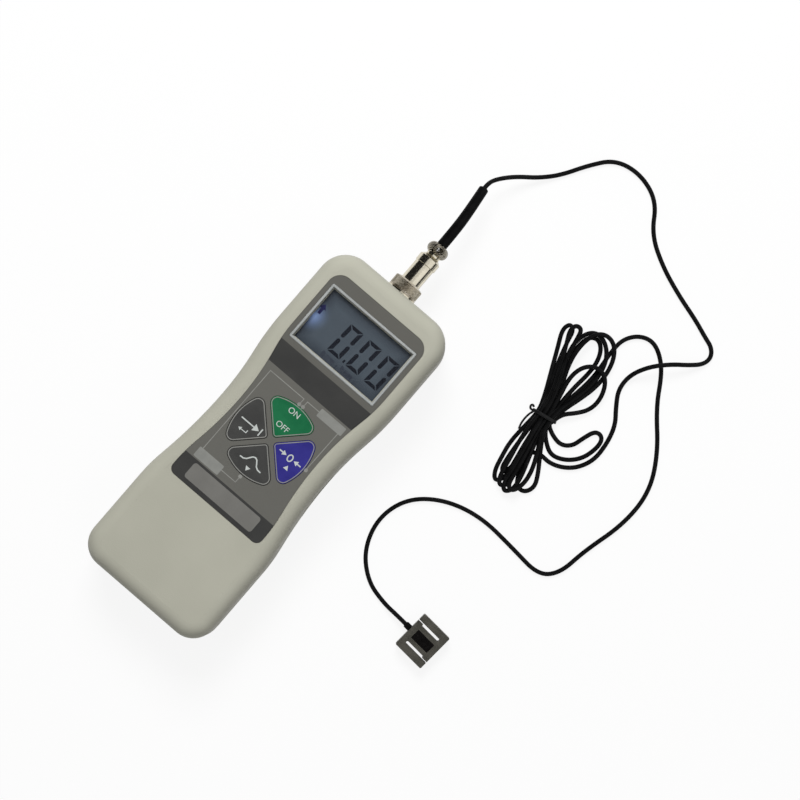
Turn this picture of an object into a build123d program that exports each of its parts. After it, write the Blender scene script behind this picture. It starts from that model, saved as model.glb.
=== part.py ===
from build123d import *
import math
import os

os.makedirs("parts", exist_ok=True)

# Hand-held force gauge with an outside miniature load cell on a lead.
# The gauge lies on its back. +X is to its right, +Y points out of its connector end and +Z out
# of its display. The origin is the middle of the flat back face. All sizes are in millimetres.

# ---------------------------------------------------------------- driving dimensions
HOUSING_LENGTH = 169.5
HOUSING_THICKNESS = 36.0
LOW_HALF_WIDTH = 33.05
WAIST_HALF_WIDTH = 29.0
HIGH_HALF_WIDTH = 32.25
LOW_STRAIGHT_END = -44.0
WAIST_AT = 4.0
HIGH_STRAIGHT_START = 45.0
LOW_CORNER = 11.0
HIGH_CORNER = 13.0
PARTING_HEIGHT = 18.0
DRAFT_ANGLE = 1.2
FACE_SHOULDER = 6.5
BACK_SHOULDER = 5.0
WALL = 2.4
LIP_THICKNESS = 1.05
LIP_HEIGHT = 1.5
CLOSE_GAP = 0.05

OVERLAY_TOP = 74.45
OVERLAY_BOTTOM = -34.9
OVERLAY_LOW_HALF = 24.45
OVERLAY_WAIST_HALF = 21.15
OVERLAY_HIGH_HALF = 25.1
OVERLAY_THICKNESS = 0.5
OVERLAY_RECESS = 0.6

BEZEL_WIDTH = 45.8
BEZEL_HEIGHT = 28.7
BEZEL_CENTRE = 54.35
BEZEL_RIM = 1.1
WINDOW_LEDGE = 0.4
WINDOW_THICKNESS = 1.4

KEY_CENTRE = 1.75
KEY_APEX = 1.6
KEY_CROWN = 18.5
KEY_CROWN_RADIUS = 22.0
KEY_CORNER = 3.0
KEY_APEX_RADIUS = 1.5
KEY_CLEARANCE = 0.15
KEY_PROUD = 0.25
KEY_TRAVEL = 0.5
KEY_FLANGE = 0.55

BOARD_TOP = 25.8
BOARD_THICKNESS = 1.6
BOARD_WIDTH = 48.0
BOARD_FAR = 71.0
BOARD_NEAR = -18.0
BOARD_POST_RADIUS = 2.6
BOARD_HOLE_RADIUS = 1.3
BOARD_POSTS = [(-20.0, 67.0), (20.0, 67.0), (-17.2, -14.6), (17.2, -14.6)]
SWITCH_TOP = 30.3
SWITCH_REACH = 10.5

PANEL_WIDTH = 46.0
PANEL_HEIGHT = 31.0
PANEL_THICKNESS = 2.8
LIGHT_THICKNESS = 3.0
STRIP_WIDTH = 2.2

BATTERY_RADIUS = 7.1
BATTERY_LENGTH = 50.0
BATTERY_AXIS = 15.7
TRAY_CENTRE = -44.9
TRAY_FLOOR = 7.0
TRAY_WALL = 1.2
TRAY_RIB_LENGTH = 44.0
TRAY_RIB_THICKNESS = 1.6
TRAY_RIB_REACH = 16.0

SCREW_PLACES = [(-23.0, 75.5), (23.0, 75.5), (-24.5, -76.0), (24.5, -76.0)]
SCREW_RADIUS = 1.25
SCREW_HEAD_RADIUS = 2.75
SCREW_HEAD_HEIGHT = 2.4
SCREW_SEAT = 12.0
SCREW_BORE_RADIUS = 1.7
COUNTERBORE_RADIUS = 3.2
FRONT_POST_RADIUS = 3.4
REAR_POST_RADIUS = 4.2
POST_ROOT = 0.5
INSERT_LENGTH = 8.0
INSERT_RADIUS = 3.2
STAND_HOLE_RADIUS = 2.1
STAND_SPACING_X = 28.0
STAND_SPACING_Y = 52.0
STAND_CENTRE = 18.0
STAND_BOSS_RADIUS = 5.0
STAND_HOLE_FLOOR = 1.5

PORT_CENTRE = 0.3
PORT_LENGTH = 14.2
PORT_HEIGHT = 5.8
PORT_FACE = 28.6
PORT_DEPTH = 8.0
PORT_CAVITY = 5.5
PIN_PITCH = 2.2
JACK_CENTRE = -11.4
JACK_RADIUS = 3.0
JACK_BORE = 1.8
JACK_FACE = 29.0
JACK_LENGTH = 9.0
JACK_DEPTH = 7.5

SOCKET_HEIGHT = 18.0
SOCKET_WALL_RADIUS = 6.0
SOCKET_FLANGE_RADIUS = 7.0
SOCKET_FLANGE = 1.0
SOCKET_BORE_RADIUS = 4.72
SOCKET_INNER_END = 75.0
SOCKET_NUT_RADIUS = 8.4
SOCKET_NUT_THICKNESS = 2.2
SOCKET_WASHER_RADIUS = 8.0
SOCKET_WASHER_THICKNESS = 0.5
NOSE_RADIUS = 5.9
NOSE_END = 89.4
CONTACT_COUNT = 5
CONTACT_CIRCLE = 2.4

RING_RADIUS = 6.95
RING_FRONT = 85.6
RING_REAR = 91.2
BARREL_RADIUS = 4.65
BARREL_BORE = 4.0
BARREL_START = 80.5
COLLAR_END = 89.95
CLIP_START = 90.6
CLIP_END = 91.05
CLIP_GROOVE = 4.35
CLIP_RADIUS = 5.2
BARREL_END = 100.7
TAIL_RADIUS = 5.05
TAIL_SHOULDER = 104.3
NECK_RADIUS = 3.3
NECK_START = 105.8
CLAMP_START = 106.6
CLAMP_END = 111.9
CLAMP_RADIUS = 4.95
CLAMP_GAP = 1.0
CLAMP_ROLL = 65.0
CLAMP_SCREW_OFFSET = 3.55
CLAMP_SCREW_RADIUS = 0.6
CLAMP_HEAD_RADIUS = 1.15
CLAMP_HEAD_SEAT = 1.7
CLAMP_HEAD_HEIGHT = 0.9
SLEEVE_RADIUS = 2.42

CORD_DIAMETER = 2.0
HANK_HEIGHT = 5.6
TIE_WIDTH = 2.4
TIE_THICKNESS = 1.0
TIE_AT = 86.5
TIE_LEFT = 76.5
TIE_RIGHT = 86.2

# The free lead, in the order that the current runs: sleeve, run from the plug, small loop beside
# the hank, and run to the load cell. Points are corners, which tangent arcs round off.
SLEEVE_ROUTE = [
    (0.0, 103.4, 18.0), (0.0, 119.5, 18.0), (-0.9, 131.5, 16.4), (-2.5, 142.6, 13.6),
]
PLUG_ROUTE = [
    (-2.5, 142.6, 13.6), (-3.05, 146.4, 12.63), (-0.4, 151.7, 9.8), (4.6, 157.8, 6.0),
    (11.6, 163.8, 2.6), (18.2, 171.4, 1.0), (24.2, 181.9, 1.0), (31.8, 192.0, 1.0), (44.4, 194.4, 1.0),
    (57.4, 189.8, 1.0), (65.0, 177.4, 1.0), (78.0, 169.6, 1.0), (92.0, 164.4, 1.0), (103.5, 161.2, 1.0),
    (112.0, 158.0, 1.0), (116.8, 156.5, 1.0), (119.6, 152.9, 1.0), (118.8, 148.4, 1.4),
    (114.2, 143.8, 3.6), (108.0, 138.8, 6.0), (101.6, 132.0, 6.0), (97.6, 124.2, 2.4),
    (97.8, 116.2, 1.0), (102.2, 109.4, 1.0), (107.0, 103.4, 1.0), (109.4, 94.6, 1.0),
    (109.7, 85.2, 1.0), (105.2, 76.9, 1.0), (97.0, 72.2, 1.0), (89.4, 72.8, 1.2),
]
LOOP_ROUTE = [
    (85.1, 84.5, 1.3), (89.3, 82.3, 1.1), (94.5, 81.4, 1.0), (98.6, 84.5, 1.0), (100.0, 90.0, 1.0),
    (101.8, 95.3, 1.0), (104.7, 96.3, 1.0), (107.0, 94.3, 1.0), (107.1, 89.4, 1.0), (105.3, 83.0, 1.0),
    (100.6, 77.8, 1.0), (94.2, 75.2, 1.0), (88.8, 78.2, 1.1), (84.6, 82.6, 1.3),
]
CELL_ROUTE = [
    (84.9, 127.2, 1.2), (85.3, 134.0, 1.0), (89.2, 139.6, 1.0), (95.2, 142.0, 1.0), (101.4, 139.7, 1.0),
    (107.8, 133.8, 1.0), (115.3, 121.0, 1.0), (128.6, 106.6, 1.0), (137.0, 91.0, 1.0),
    (137.4, 73.0, 1.0), (132.0, 53.0, 1.0), (130.2, 39.2, 1.0), (123.5, 32.2, 1.0), (108.4, 33.8, 1.0),
    (88.5, 35.3, 1.0), (71.5, 30.6, 1.0), (59.0, 20.5, 1.0), (54.8, 6.0, 1.0), (59.2, -8.5, 1.0),
    (69.6, -17.8, 1.0), (81.0, -20.4, 1.2), (88.54, -20.55, 3.25), (93.53, -20.92, 3.25),
]

# The tied hank seen from above.
HANK_OUTLINE = [
    (76.4, 88.6), (70.2, 103.0), (62.2, 120.5), (64.0, 124.8), (69.5, 126.0), (74.5, 130.4), (80.0, 131.3),
    (86.0, 128.2), (90.4, 119.5), (94.6, 111.0), (95.4, 104.5), (92.6, 98.0), (86.4, 89.2), (86.0, 84.4),
    (89.5, 77.5), (92.8, 71.8), (97.8, 64.5), (98.0, 59.5), (94.5, 55.4), (89.6, 50.6), (81.8, 51.2),
    (80.0, 57.4), (76.7, 64.5), (76.2, 75.0), (76.6, 84.4),
]

CELL_WIDTH = 15.1
CELL_LENGTH = 18.0
CELL_THICKNESS = 6.5
CELL_PLACE = Location((103.85, -21.7, 0.0), (0.0, 0.0, -4.3))
CELL_SLOT_WIDTH = 1.35
CELL_SLIT_WIDTH = 0.55
CELL_SLOT_HALF = 4.85
CELL_SLOT_OUTER = 5.7
CELL_THREAD_RADIUS = 1.25
POCKET_LENGTH = 9.5
POCKET_WIDTH = 4.7
BOOT_RADIUS = 1.45
BOOT_LENGTH = 2.8

END_TOP = HOUSING_LENGTH / 2
END_BOTTOM = -HOUSING_LENGTH / 2
SOCKET_SEAT = END_TOP - 0.2
FACE = HOUSING_THICKNESS
RECESS_FLOOR = FACE - OVERLAY_RECESS
CEILING = RECESS_FLOOR - WALL
WINDOW_SEAT = RECESS_FLOOR - WINDOW_THICKNESS
CLAMP_MIDDLE = (CLAMP_START + CLAMP_END) / 2
CLAMP_TURN = Location((0.0, 0.0, SOCKET_HEIGHT), (0.0, CLAMP_ROLL, 0.0))
KEY_ANGLES = {"on_off_key": 0, "send_key": 90, "peak_key": 180, "zero_key": 270}

made = {}


def keep(name, shape):
    """Remember one node's solids, to be written at the end."""
    made[name] = shape
    return shape


# ---------------------------------------------------------------- outlines
def s_bend(start, run, shift, first_share):
    """Two tangent arcs that move a line sideways by shift over run, starting and ending along +Y.

    A positive shift moves it towards -X first. first_share is the first arc's part of the radii.
    """
    turn = 2 * math.atan(abs(shift) / run)
    radii = run / math.sin(turn)
    sign = 1 if shift > 0 else -1
    angle = sign * math.degrees(turn)
    first = JernArc(start, (0, 1), radii * first_share, angle)
    second = JernArc(first @ 1, first % 1, radii * (1 - first_share), -angle)
    return [first, second]


def hourglass(bottom, top, low, waist, high, low_end, waist_at, high_start, corners, shares, inset=0.0):
    """A face with straight ends and waisted sides, symmetric about the Y axis."""
    bottom = bottom + inset
    top = top - inset
    lower = s_bend((low - inset, low_end), waist_at - low_end, low - waist, shares[0])
    upper = s_bend(lower[1] @ 1, high_start - waist_at, waist - high, shares[1])
    half = [
        Line((0, bottom), (low - inset, bottom)),
        Line((low - inset, bottom), (low - inset, low_end)),
        *lower,
        *upper,
        Line(upper[1] @ 1, (high - inset, top)),
        Line((high - inset, top), (0, top)),
    ]
    face = make_face(half + [mirror(edge, about=Plane.YZ) for edge in half])
    low_corners = [v for v in face.vertices() if abs(v.Y - bottom) < 0.01 and abs(v.X) > 1]
    face = fillet(low_corners, corners[0] - inset)
    high_corners = [v for v in face.vertices() if abs(v.Y - top) < 0.01 and abs(v.X) > high / 2 + 8]
    high_corners = [v for v in high_corners if abs(abs(v.X) - high + inset) < 0.01]
    return fillet(high_corners, corners[1] - inset)


def housing_outline(inset=0.0):
    return hourglass(
        END_BOTTOM, END_TOP, LOW_HALF_WIDTH, WAIST_HALF_WIDTH, HIGH_HALF_WIDTH,
        LOW_STRAIGHT_END, WAIST_AT, HIGH_STRAIGHT_START,
        (LOW_CORNER, HIGH_CORNER), (0.26, 0.52), inset,
    )


def overlay_outline(inset=0.0):
    return hourglass(
        OVERLAY_BOTTOM, OVERLAY_TOP, OVERLAY_LOW_HALF, OVERLAY_WAIST_HALF, OVERLAY_HIGH_HALF,
        -31.0, 7.0, 45.0, (3.0, 6.0), (0.35, 0.66), inset,
    )


def petal(angle, grow=0.0):
    """One of the four keys: a quarter wedge with a crowned outer edge, turned by angle."""
    centre = KEY_CROWN - KEY_CROWN_RADIUS
    # The wedge edge y = KEY_APEX + x meets the crown's circle at x.
    rise = KEY_APEX - centre
    x = (-rise + math.sqrt(2 * KEY_CROWN_RADIUS**2 - rise**2)) / 2
    corner = (x, KEY_APEX + x)
    face = make_face([
        Line((0, KEY_APEX), corner),
        ThreePointArc(corner, (0, KEY_CROWN), (-x, KEY_APEX + x)),
        Line((-x, KEY_APEX + x), (0, KEY_APEX)),
    ])
    apex = face.vertices().sort_by(Axis.Y)[0]
    face = fillet(apex, KEY_APEX_RADIUS)
    corners = [v for v in face.vertices() if abs(abs(v.X) - x) < 0.01]
    face = fillet(corners, KEY_CORNER)
    if grow:
        face = offset(face, grow)
    return Pos(0, KEY_CENTRE, 0) * Rot(0, 0, angle) * face


def slab(face, low, high, taper=0.0):
    """The face as a plate from height low to height high."""
    return extrude(Pos(0, 0, low) * face, amount=high - low, taper=taper)


def bar(x_size, y_size, low, high, x=0.0, y=0.0):
    """A rectangular block between two heights."""
    return Pos(x, y, (low + high) / 2) * Box(x_size, y_size, high - low)


def post(radius, low, high, x, y):
    """A round post between two heights."""
    return Pos(x, y, (low + high) / 2) * Cylinder(radius, high - low)


def turned(profile):
    """A body of revolution about the connector's axis, from (radius, distance along Y) points."""
    face = make_face(Polyline(profile, close=True))
    solid = revolve(face, Axis.Y, 360)
    return Pos(0, 0, SOCKET_HEIGHT) * solid


def turned_ring(inner, outer, start, end):
    return turned([(inner, start), (outer, start), (outer, end), (inner, end)])


# ---------------------------------------------------------------- moulded housing
def front_shell():
    outer = slab(housing_outline(), PARTING_HEIGHT, FACE, DRAFT_ANGLE)
    outer = fillet(outer.faces().sort_by(Axis.Z)[-1].edges(), FACE_SHOULDER)
    inner = slab(housing_outline(WALL), PARTING_HEIGHT, CEILING, DRAFT_ANGLE)
    inner = fillet(inner.faces().sort_by(Axis.Z)[-1].edges(), FACE_SHOULDER - WALL)
    shell = outer - inner
    # Rebate that takes the rear shell's lip.
    rebate = slab(housing_outline(WALL - LIP_THICKNESS - CLOSE_GAP), PARTING_HEIGHT,
                  PARTING_HEIGHT + LIP_HEIGHT + CLOSE_GAP)
    shell -= rebate
    # Shallow recess for the membrane, opening for the display and the four keys.
    shell -= slab(overlay_outline(-0.1), RECESS_FLOOR, FACE + 1)
    shell -= bar(BEZEL_WIDTH + 0.1, BEZEL_HEIGHT + 0.1, WINDOW_SEAT, FACE, 0, BEZEL_CENTRE)
    inside = 2 * (BEZEL_RIM + WINDOW_LEDGE)
    shell -= bar(BEZEL_WIDTH - inside, BEZEL_HEIGHT - inside, CEILING - 1, FACE, 0, BEZEL_CENTRE)
    for angle in KEY_ANGLES.values():
        shell -= slab(petal(angle, KEY_CLEARANCE), CEILING - 1, FACE)
    # Screw posts, webbed to the ceiling by their own length.
    for x, y in SCREW_PLACES:
        shell += post(FRONT_POST_RADIUS, PARTING_HEIGHT, CEILING + POST_ROOT, x, y)
        shell -= post(SCREW_RADIUS + 0.03, PARTING_HEIGHT - 1, CEILING - 2, x, y)
    return shell - socket_hole() - port_hole()


def socket_hole():
    """The connector's hole in the top end, with a flat seat outside and inside the drafted wall."""
    hole = turned_ring(0, SOCKET_WALL_RADIUS + 0.05, END_TOP - WALL - 2, END_TOP + 1)
    outside = turned_ring(0, SOCKET_FLANGE_RADIUS + 0.15, SOCKET_SEAT, END_TOP + 1)
    inside = turned_ring(0, SOCKET_NUT_RADIUS + 0.4, END_TOP - WALL - 2, END_TOP - WALL)
    return hole + outside + inside


def port_hole():
    """The data port's rectangular opening and the charging jack's round one, in the right wall."""
    slot = Pos(28.5, PORT_CENTRE, PARTING_HEIGHT) * Box(9, PORT_LENGTH + 0.1, PORT_HEIGHT + 0.1)
    jack = Pos(28.5, JACK_CENTRE, PARTING_HEIGHT) * Rot(0, 90, 0) * Cylinder(JACK_RADIUS + 0.05, 9)
    return slot + jack


def rear_shell():
    flipped = Plane((0, 0, PARTING_HEIGHT), x_dir=(1, 0, 0), z_dir=(0, 0, -1))
    outer = extrude(Pos(0, 0, PARTING_HEIGHT) * housing_outline(), amount=PARTING_HEIGHT,
                    dir=flipped.z_dir, taper=DRAFT_ANGLE)
    outer = fillet(outer.faces().sort_by(Axis.Z)[0].edges(), BACK_SHOULDER)
    inner = extrude(Pos(0, 0, PARTING_HEIGHT) * housing_outline(WALL), amount=PARTING_HEIGHT - WALL,
                    dir=flipped.z_dir, taper=DRAFT_ANGLE)
    inner = fillet(inner.faces().sort_by(Axis.Z)[0].edges(), BACK_SHOULDER - WALL)
    shell = outer - inner
    lip = slab(housing_outline(WALL - LIP_THICKNESS), PARTING_HEIGHT, PARTING_HEIGHT + LIP_HEIGHT)
    lip -= slab(housing_outline(WALL), PARTING_HEIGHT - 1, PARTING_HEIGHT + LIP_HEIGHT + 1)
    shell += lip
    for x, y in SCREW_PLACES:
        shell += post(REAR_POST_RADIUS, WALL - POST_ROOT, PARTING_HEIGHT, x, y)
        shell -= post(SCREW_BORE_RADIUS, -1, PARTING_HEIGHT + 1, x, y)
        shell -= post(COUNTERBORE_RADIUS, -1, SCREW_SEAT, x, y)
    for x, y in stand_places():
        shell += post(STAND_BOSS_RADIUS, WALL - POST_ROOT, INSERT_LENGTH + 1.0, x, y)
        shell -= post(INSERT_RADIUS, -1, INSERT_LENGTH, x, y)
    # Posts that carry the board, and two ribs that carry the battery tray.
    for x, y in BOARD_POSTS:
        shell += post(BOARD_POST_RADIUS, WALL - POST_ROOT, BOARD_TOP - BOARD_THICKNESS, x, y)
    for y in (TRAY_CENTRE - TRAY_RIB_REACH, TRAY_CENTRE + TRAY_RIB_REACH):
        shell += bar(TRAY_RIB_LENGTH, TRAY_RIB_THICKNESS, WALL - POST_ROOT, TRAY_FLOOR, 0, y)
    return shell - socket_hole() - port_hole()


def stand_places():
    across = STAND_SPACING_X / 2
    along = STAND_SPACING_Y / 2
    return [(sx * across, STAND_CENTRE + sy * along) for sx in (-1, 1) for sy in (-1, 1)]


def case_screws():
    screws = []
    for x, y in SCREW_PLACES:
        head = post(SCREW_HEAD_RADIUS, SCREW_SEAT - SCREW_HEAD_HEIGHT, SCREW_SEAT, x, y)
        head = fillet(head.edges().sort_by(Axis.Z)[0], 0.8)
        screws.append(head + post(SCREW_RADIUS, SCREW_SEAT, CEILING - 3, x, y))
    return Compound(screws)


def stand_inserts():
    inserts = []
    for x, y in stand_places():
        bush = post(INSERT_RADIUS, 0, INSERT_LENGTH, x, y)
        inserts.append(bush - post(STAND_HOLE_RADIUS, -1, INSERT_LENGTH - STAND_HOLE_FLOOR, x, y))
    return Compound(inserts)


# ---------------------------------------------------------------- membrane, display and keys
def keypad_overlay():
    sheet = slab(overlay_outline(), RECESS_FLOOR, RECESS_FLOOR + OVERLAY_THICKNESS)
    sheet -= bar(BEZEL_WIDTH + 0.1, BEZEL_HEIGHT + 0.1, RECESS_FLOOR - 1, FACE + 1, 0, BEZEL_CENTRE)
    for angle in KEY_ANGLES.values():
        sheet -= slab(petal(angle, KEY_CLEARANCE), RECESS_FLOOR - 1, FACE + 1)
    return sheet


def display_bezel():
    inside = (BEZEL_WIDTH - 2 * BEZEL_RIM, BEZEL_HEIGHT - 2 * BEZEL_RIM)
    top = FACE + 0.15
    ring = bar(BEZEL_WIDTH, BEZEL_HEIGHT, WINDOW_SEAT, top, 0, BEZEL_CENTRE)
    ring = fillet(ring.edges().filter_by(Axis.Z), 0.5)
    ring -= bar(*inside, WINDOW_SEAT - 1, top + 1, 0, BEZEL_CENTRE)
    return chamfer(ring.faces().sort_by(Axis.Z)[-1].edges(), 0.25)


def display_window():
    width = BEZEL_WIDTH - 2 * BEZEL_RIM
    height = BEZEL_HEIGHT - 2 * BEZEL_RIM
    return bar(width, height, WINDOW_SEAT, RECESS_FLOOR, 0, BEZEL_CENTRE)


def display_panel():
    """Two glass plates, the rear one wider, with the contact ledge along both long edges."""
    top = CEILING
    middle = top - PANEL_THICKNESS / 2
    front = bar(PANEL_WIDTH, PANEL_HEIGHT - 3, middle, top, 0, BEZEL_CENTRE)
    return front + bar(PANEL_WIDTH, PANEL_HEIGHT, top - PANEL_THICKNESS, middle, 0, BEZEL_CENTRE)


def display_backlight():
    top = CEILING - PANEL_THICKNESS
    size = (PANEL_WIDTH - 2, PANEL_HEIGHT - 2 * STRIP_WIDTH - 1)
    guide = bar(*size, top - LIGHT_THICKNESS, top, 0, BEZEL_CENTRE)
    return chamfer(guide.edges().group_by(Axis.Z)[0].filter_by(Axis.Y), 1.0)


def display_strips():
    top = CEILING - PANEL_THICKNESS
    across = (PANEL_HEIGHT - STRIP_WIDTH) / 2
    return Compound([
        bar(PANEL_WIDTH - 4, STRIP_WIDTH, BOARD_TOP, top, 0, BEZEL_CENTRE + side * across)
        for side in (-1, 1)
    ])


def key(angle):
    top = fillet(slab(petal(angle), CEILING - CLOSE_GAP, FACE + KEY_PROUD).faces()
                 .sort_by(Axis.Z)[-1].edges(), 0.3)
    flange = slab(petal(angle, KEY_FLANGE), CEILING - CLOSE_GAP - 0.8, CEILING - CLOSE_GAP)
    x, y = key_middle(angle)
    return top + flange + post(2.0, SWITCH_TOP + KEY_TRAVEL + CLOSE_GAP, CEILING - 0.5, x, y)


def key_middle(angle):
    turn = math.radians(angle)
    return -SWITCH_REACH * math.sin(turn), KEY_CENTRE + SWITCH_REACH * math.cos(turn)


def key_switches():
    switches = []
    for angle in KEY_ANGLES.values():
        x, y = key_middle(angle)
        body = bar(6, 6, BOARD_TOP, BOARD_TOP + 3.5, x, y)
        switches.append(body + post(1.75, BOARD_TOP + 3.4, SWITCH_TOP, x, y))
    return Compound(switches)


def main_board():
    low = BOARD_TOP - BOARD_THICKNESS
    board = bar(BOARD_WIDTH, BOARD_FAR - BOARD_NEAR, low, BOARD_TOP, 0, (BOARD_FAR + BOARD_NEAR) / 2)
    board = fillet(board.edges().filter_by(Axis.Z), 2.0)
    for x, y in BOARD_POSTS:
        board -= post(BOARD_HOLE_RADIUS, low - 1, BOARD_TOP + 1, x, y)
    return board


def board_chips():
    """Controller, converter and crystal can on the board's back."""
    under = BOARD_TOP - BOARD_THICKNESS
    controller = bar(14, 14, under - 1.6, under, 0, 30)
    converter = bar(10, 6, under - 1.8, under, -8, 50)
    crystal = fillet(bar(4.6, 11, under - 3.5, under, 13, 42).edges().filter_by(Axis.Z), 1.5)
    return Compound([controller, converter, crystal])


def battery_cells():
    cells = []
    for column in (-1, 0, 1):
        centre = Pos(column * 2 * BATTERY_RADIUS, TRAY_CENTRE, BATTERY_AXIS) * Rot(90, 0, 0)
        cells.append(centre * Cylinder(BATTERY_RADIUS - 0.05, BATTERY_LENGTH))
    return Compound(cells)


def battery_tray():
    """Open tray that holds three cells side by side, with a raised wall at each end."""
    width = 6 * BATTERY_RADIUS + 0.2
    length = BATTERY_LENGTH + 0.2
    top = BATTERY_AXIS + BATTERY_RADIUS / 2
    tray = bar(width + 2 * TRAY_WALL, length + 2 * TRAY_WALL, TRAY_FLOOR, top, 0, TRAY_CENTRE)
    return tray - bar(width, length, BATTERY_AXIS - BATTERY_RADIUS, top + 1, 0, TRAY_CENTRE)


# ---------------------------------------------------------------- ports in the right wall
def data_port():
    middle = Pos(PORT_FACE - PORT_DEPTH / 2, PORT_CENTRE, PARTING_HEIGHT)
    mouth = Pos(PORT_FACE, PORT_CENTRE, PARTING_HEIGHT)
    block = middle * Box(PORT_DEPTH, PORT_LENGTH, PORT_HEIGHT)
    return block - mouth * Box(2 * PORT_CAVITY, PORT_LENGTH - 1.5, PORT_HEIGHT - 1.2)


def port_pins():
    """Two rows of five square pins that stand on the cavity's floor."""
    length = PORT_CAVITY / 2
    start = Pos(PORT_FACE - PORT_CAVITY + length / 2, PORT_CENTRE, PARTING_HEIGHT)
    places = GridLocations(PIN_PITCH, PIN_PITCH, 5, 2)
    return Compound([start * Pos(0, spot.position.X, spot.position.Y) * Box(length, 0.6, 0.6)
                     for spot in places])


def charging_jack():
    face = Pos(JACK_FACE, JACK_CENTRE, PARTING_HEIGHT) * Rot(0, -90, 0)
    from_face = (Align.CENTER, Align.CENTER, Align.MIN)
    barrel = face * Cylinder(JACK_RADIUS, JACK_LENGTH, align=from_face)
    return barrel - face * Cylinder(JACK_BORE, JACK_DEPTH, align=from_face)


# ---------------------------------------------------------------- panel socket
def socket_shell():
    inner = SOCKET_BORE_RADIUS
    return turned([
        (inner, SOCKET_INNER_END), (SOCKET_WALL_RADIUS, SOCKET_INNER_END), (SOCKET_WALL_RADIUS, SOCKET_SEAT),
        (SOCKET_FLANGE_RADIUS, SOCKET_SEAT), (SOCKET_FLANGE_RADIUS, SOCKET_SEAT + SOCKET_FLANGE),
        (NOSE_RADIUS, SOCKET_SEAT + SOCKET_FLANGE), (NOSE_RADIUS, NOSE_END - 0.4),
        (NOSE_RADIUS - 0.4, NOSE_END), (inner, NOSE_END),
    ])


def contact_places():
    step = 2 * math.pi / CONTACT_COUNT
    return [(CONTACT_CIRCLE * math.cos(i * step), CONTACT_CIRCLE * math.sin(i * step))
            for i in range(CONTACT_COUNT)]


def rods(radius, start, end):
    """One round rod for each contact, along the connector's axis."""
    middle = (start + end) / 2
    return [Pos(x, middle, SOCKET_HEIGHT + z) * Rot(90, 0, 0) * Cylinder(radius, end - start)
            for x, z in contact_places()]


def socket_insert():
    body = turned_ring(0, SOCKET_BORE_RADIUS, 75.5, 79.5)
    for rod in rods(0.5, 70, 90):
        body -= rod
    return body


def socket_contacts():
    return Compound(rods(0.5, 72.5, 85.0))


def socket_washer():
    face = END_TOP - WALL
    return turned_ring(SOCKET_WALL_RADIUS + 0.05, SOCKET_WASHER_RADIUS, face - SOCKET_WASHER_THICKNESS, face)


def socket_nut():
    hexagon = extrude(RegularPolygon(SOCKET_NUT_RADIUS, 6), amount=SOCKET_NUT_THICKNESS)
    hexagon -= Cylinder(SOCKET_WALL_RADIUS + 0.02, 10)
    return Pos(0, END_TOP - WALL - SOCKET_WASHER_THICKNESS, SOCKET_HEIGHT) * Rot(90, 0, 0) * hexagon


# ---------------------------------------------------------------- plug
def coupling_ring():
    """Knurled nut: it bears on the barrel's collar and is kept on by the clip behind its lip."""
    lip = BARREL_RADIUS + 0.1
    pocket = CLIP_RADIUS + 0.15
    ring = turned([
        (NOSE_RADIUS + 0.06, RING_FRONT), (RING_RADIUS - 0.25, RING_FRONT), (RING_RADIUS, RING_FRONT + 0.25),
        (RING_RADIUS, RING_REAR), (pocket, RING_REAR), (pocket, CLIP_START - 0.03), (lip, CLIP_START - 0.03),
        (lip, COLLAR_END + 0.03), (NOSE_RADIUS + 0.06, COLLAR_END + 0.03),
    ])
    rear = ring.edges().filter_by(GeomType.CIRCLE).group_by(Axis.Y)[-1].sort_by(SortBy.RADIUS)[-1]
    return fillet(rear, 1.5)


def plug_barrel():
    return turned([
        (BARREL_BORE, BARREL_START), (BARREL_RADIUS - 0.3, BARREL_START), (BARREL_RADIUS, BARREL_START + 0.3),
        (BARREL_RADIUS, NOSE_END + 0.02), (NOSE_RADIUS - 0.1, NOSE_END + 0.02),
        (NOSE_RADIUS - 0.1, COLLAR_END), (BARREL_RADIUS, COLLAR_END),
        (BARREL_RADIUS, CLIP_START), (CLIP_GROOVE, CLIP_START),
        (CLIP_GROOVE, CLIP_END), (BARREL_RADIUS, CLIP_END),
        (BARREL_RADIUS, BARREL_END), (BARREL_BORE, BARREL_END),
    ])


def ring_clip():
    return turned_ring(CLIP_GROOVE, CLIP_RADIUS, CLIP_START, CLIP_END)


def plug_insert():
    body = turned_ring(0, BARREL_BORE, BARREL_START, 88.0)
    for rod in rods(0.56, 78, 86.0):
        body -= rod
    for rod in rods(0.6, 86.0, 89.0):
        body -= rod
    return body


def plug_contacts():
    return Compound(rods(0.6, 86.0, 94.0))


def clamp_body():
    """The crowned knob that grips the sleeve: it is split, and its halves are screwed together."""
    flank = CLAMP_RADIUS - 1.9
    profile = make_face([
        Line((SLEEVE_RADIUS + 0.02, CLAMP_START), (flank, CLAMP_START)),
        ThreePointArc((flank, CLAMP_START), (CLAMP_RADIUS, CLAMP_MIDDLE), (flank, CLAMP_END)),
        Line((flank, CLAMP_END), (SLEEVE_RADIUS + 0.02, CLAMP_END)),
        Line((SLEEVE_RADIUS + 0.02, CLAMP_END), (SLEEVE_RADIUS + 0.02, CLAMP_START)),
    ])
    return revolve(profile, Axis.Y, 360)


def clamp_rods(radius, low, high):
    return [post(radius, low, high, side * CLAMP_SCREW_OFFSET, CLAMP_MIDDLE) for side in (-1, 1)]


def cable_clamp():
    half = clamp_body() & bar(20, 20, CLAMP_GAP / 2, 10, 0, CLAMP_MIDDLE)
    for rod in clamp_rods(CLAMP_SCREW_RADIUS + 0.05, 0, 6):
        half -= rod
    for rod in clamp_rods(CLAMP_HEAD_RADIUS + 0.15, CLAMP_HEAD_SEAT, 8):
        half -= rod
    return CLAMP_TURN * half


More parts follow.
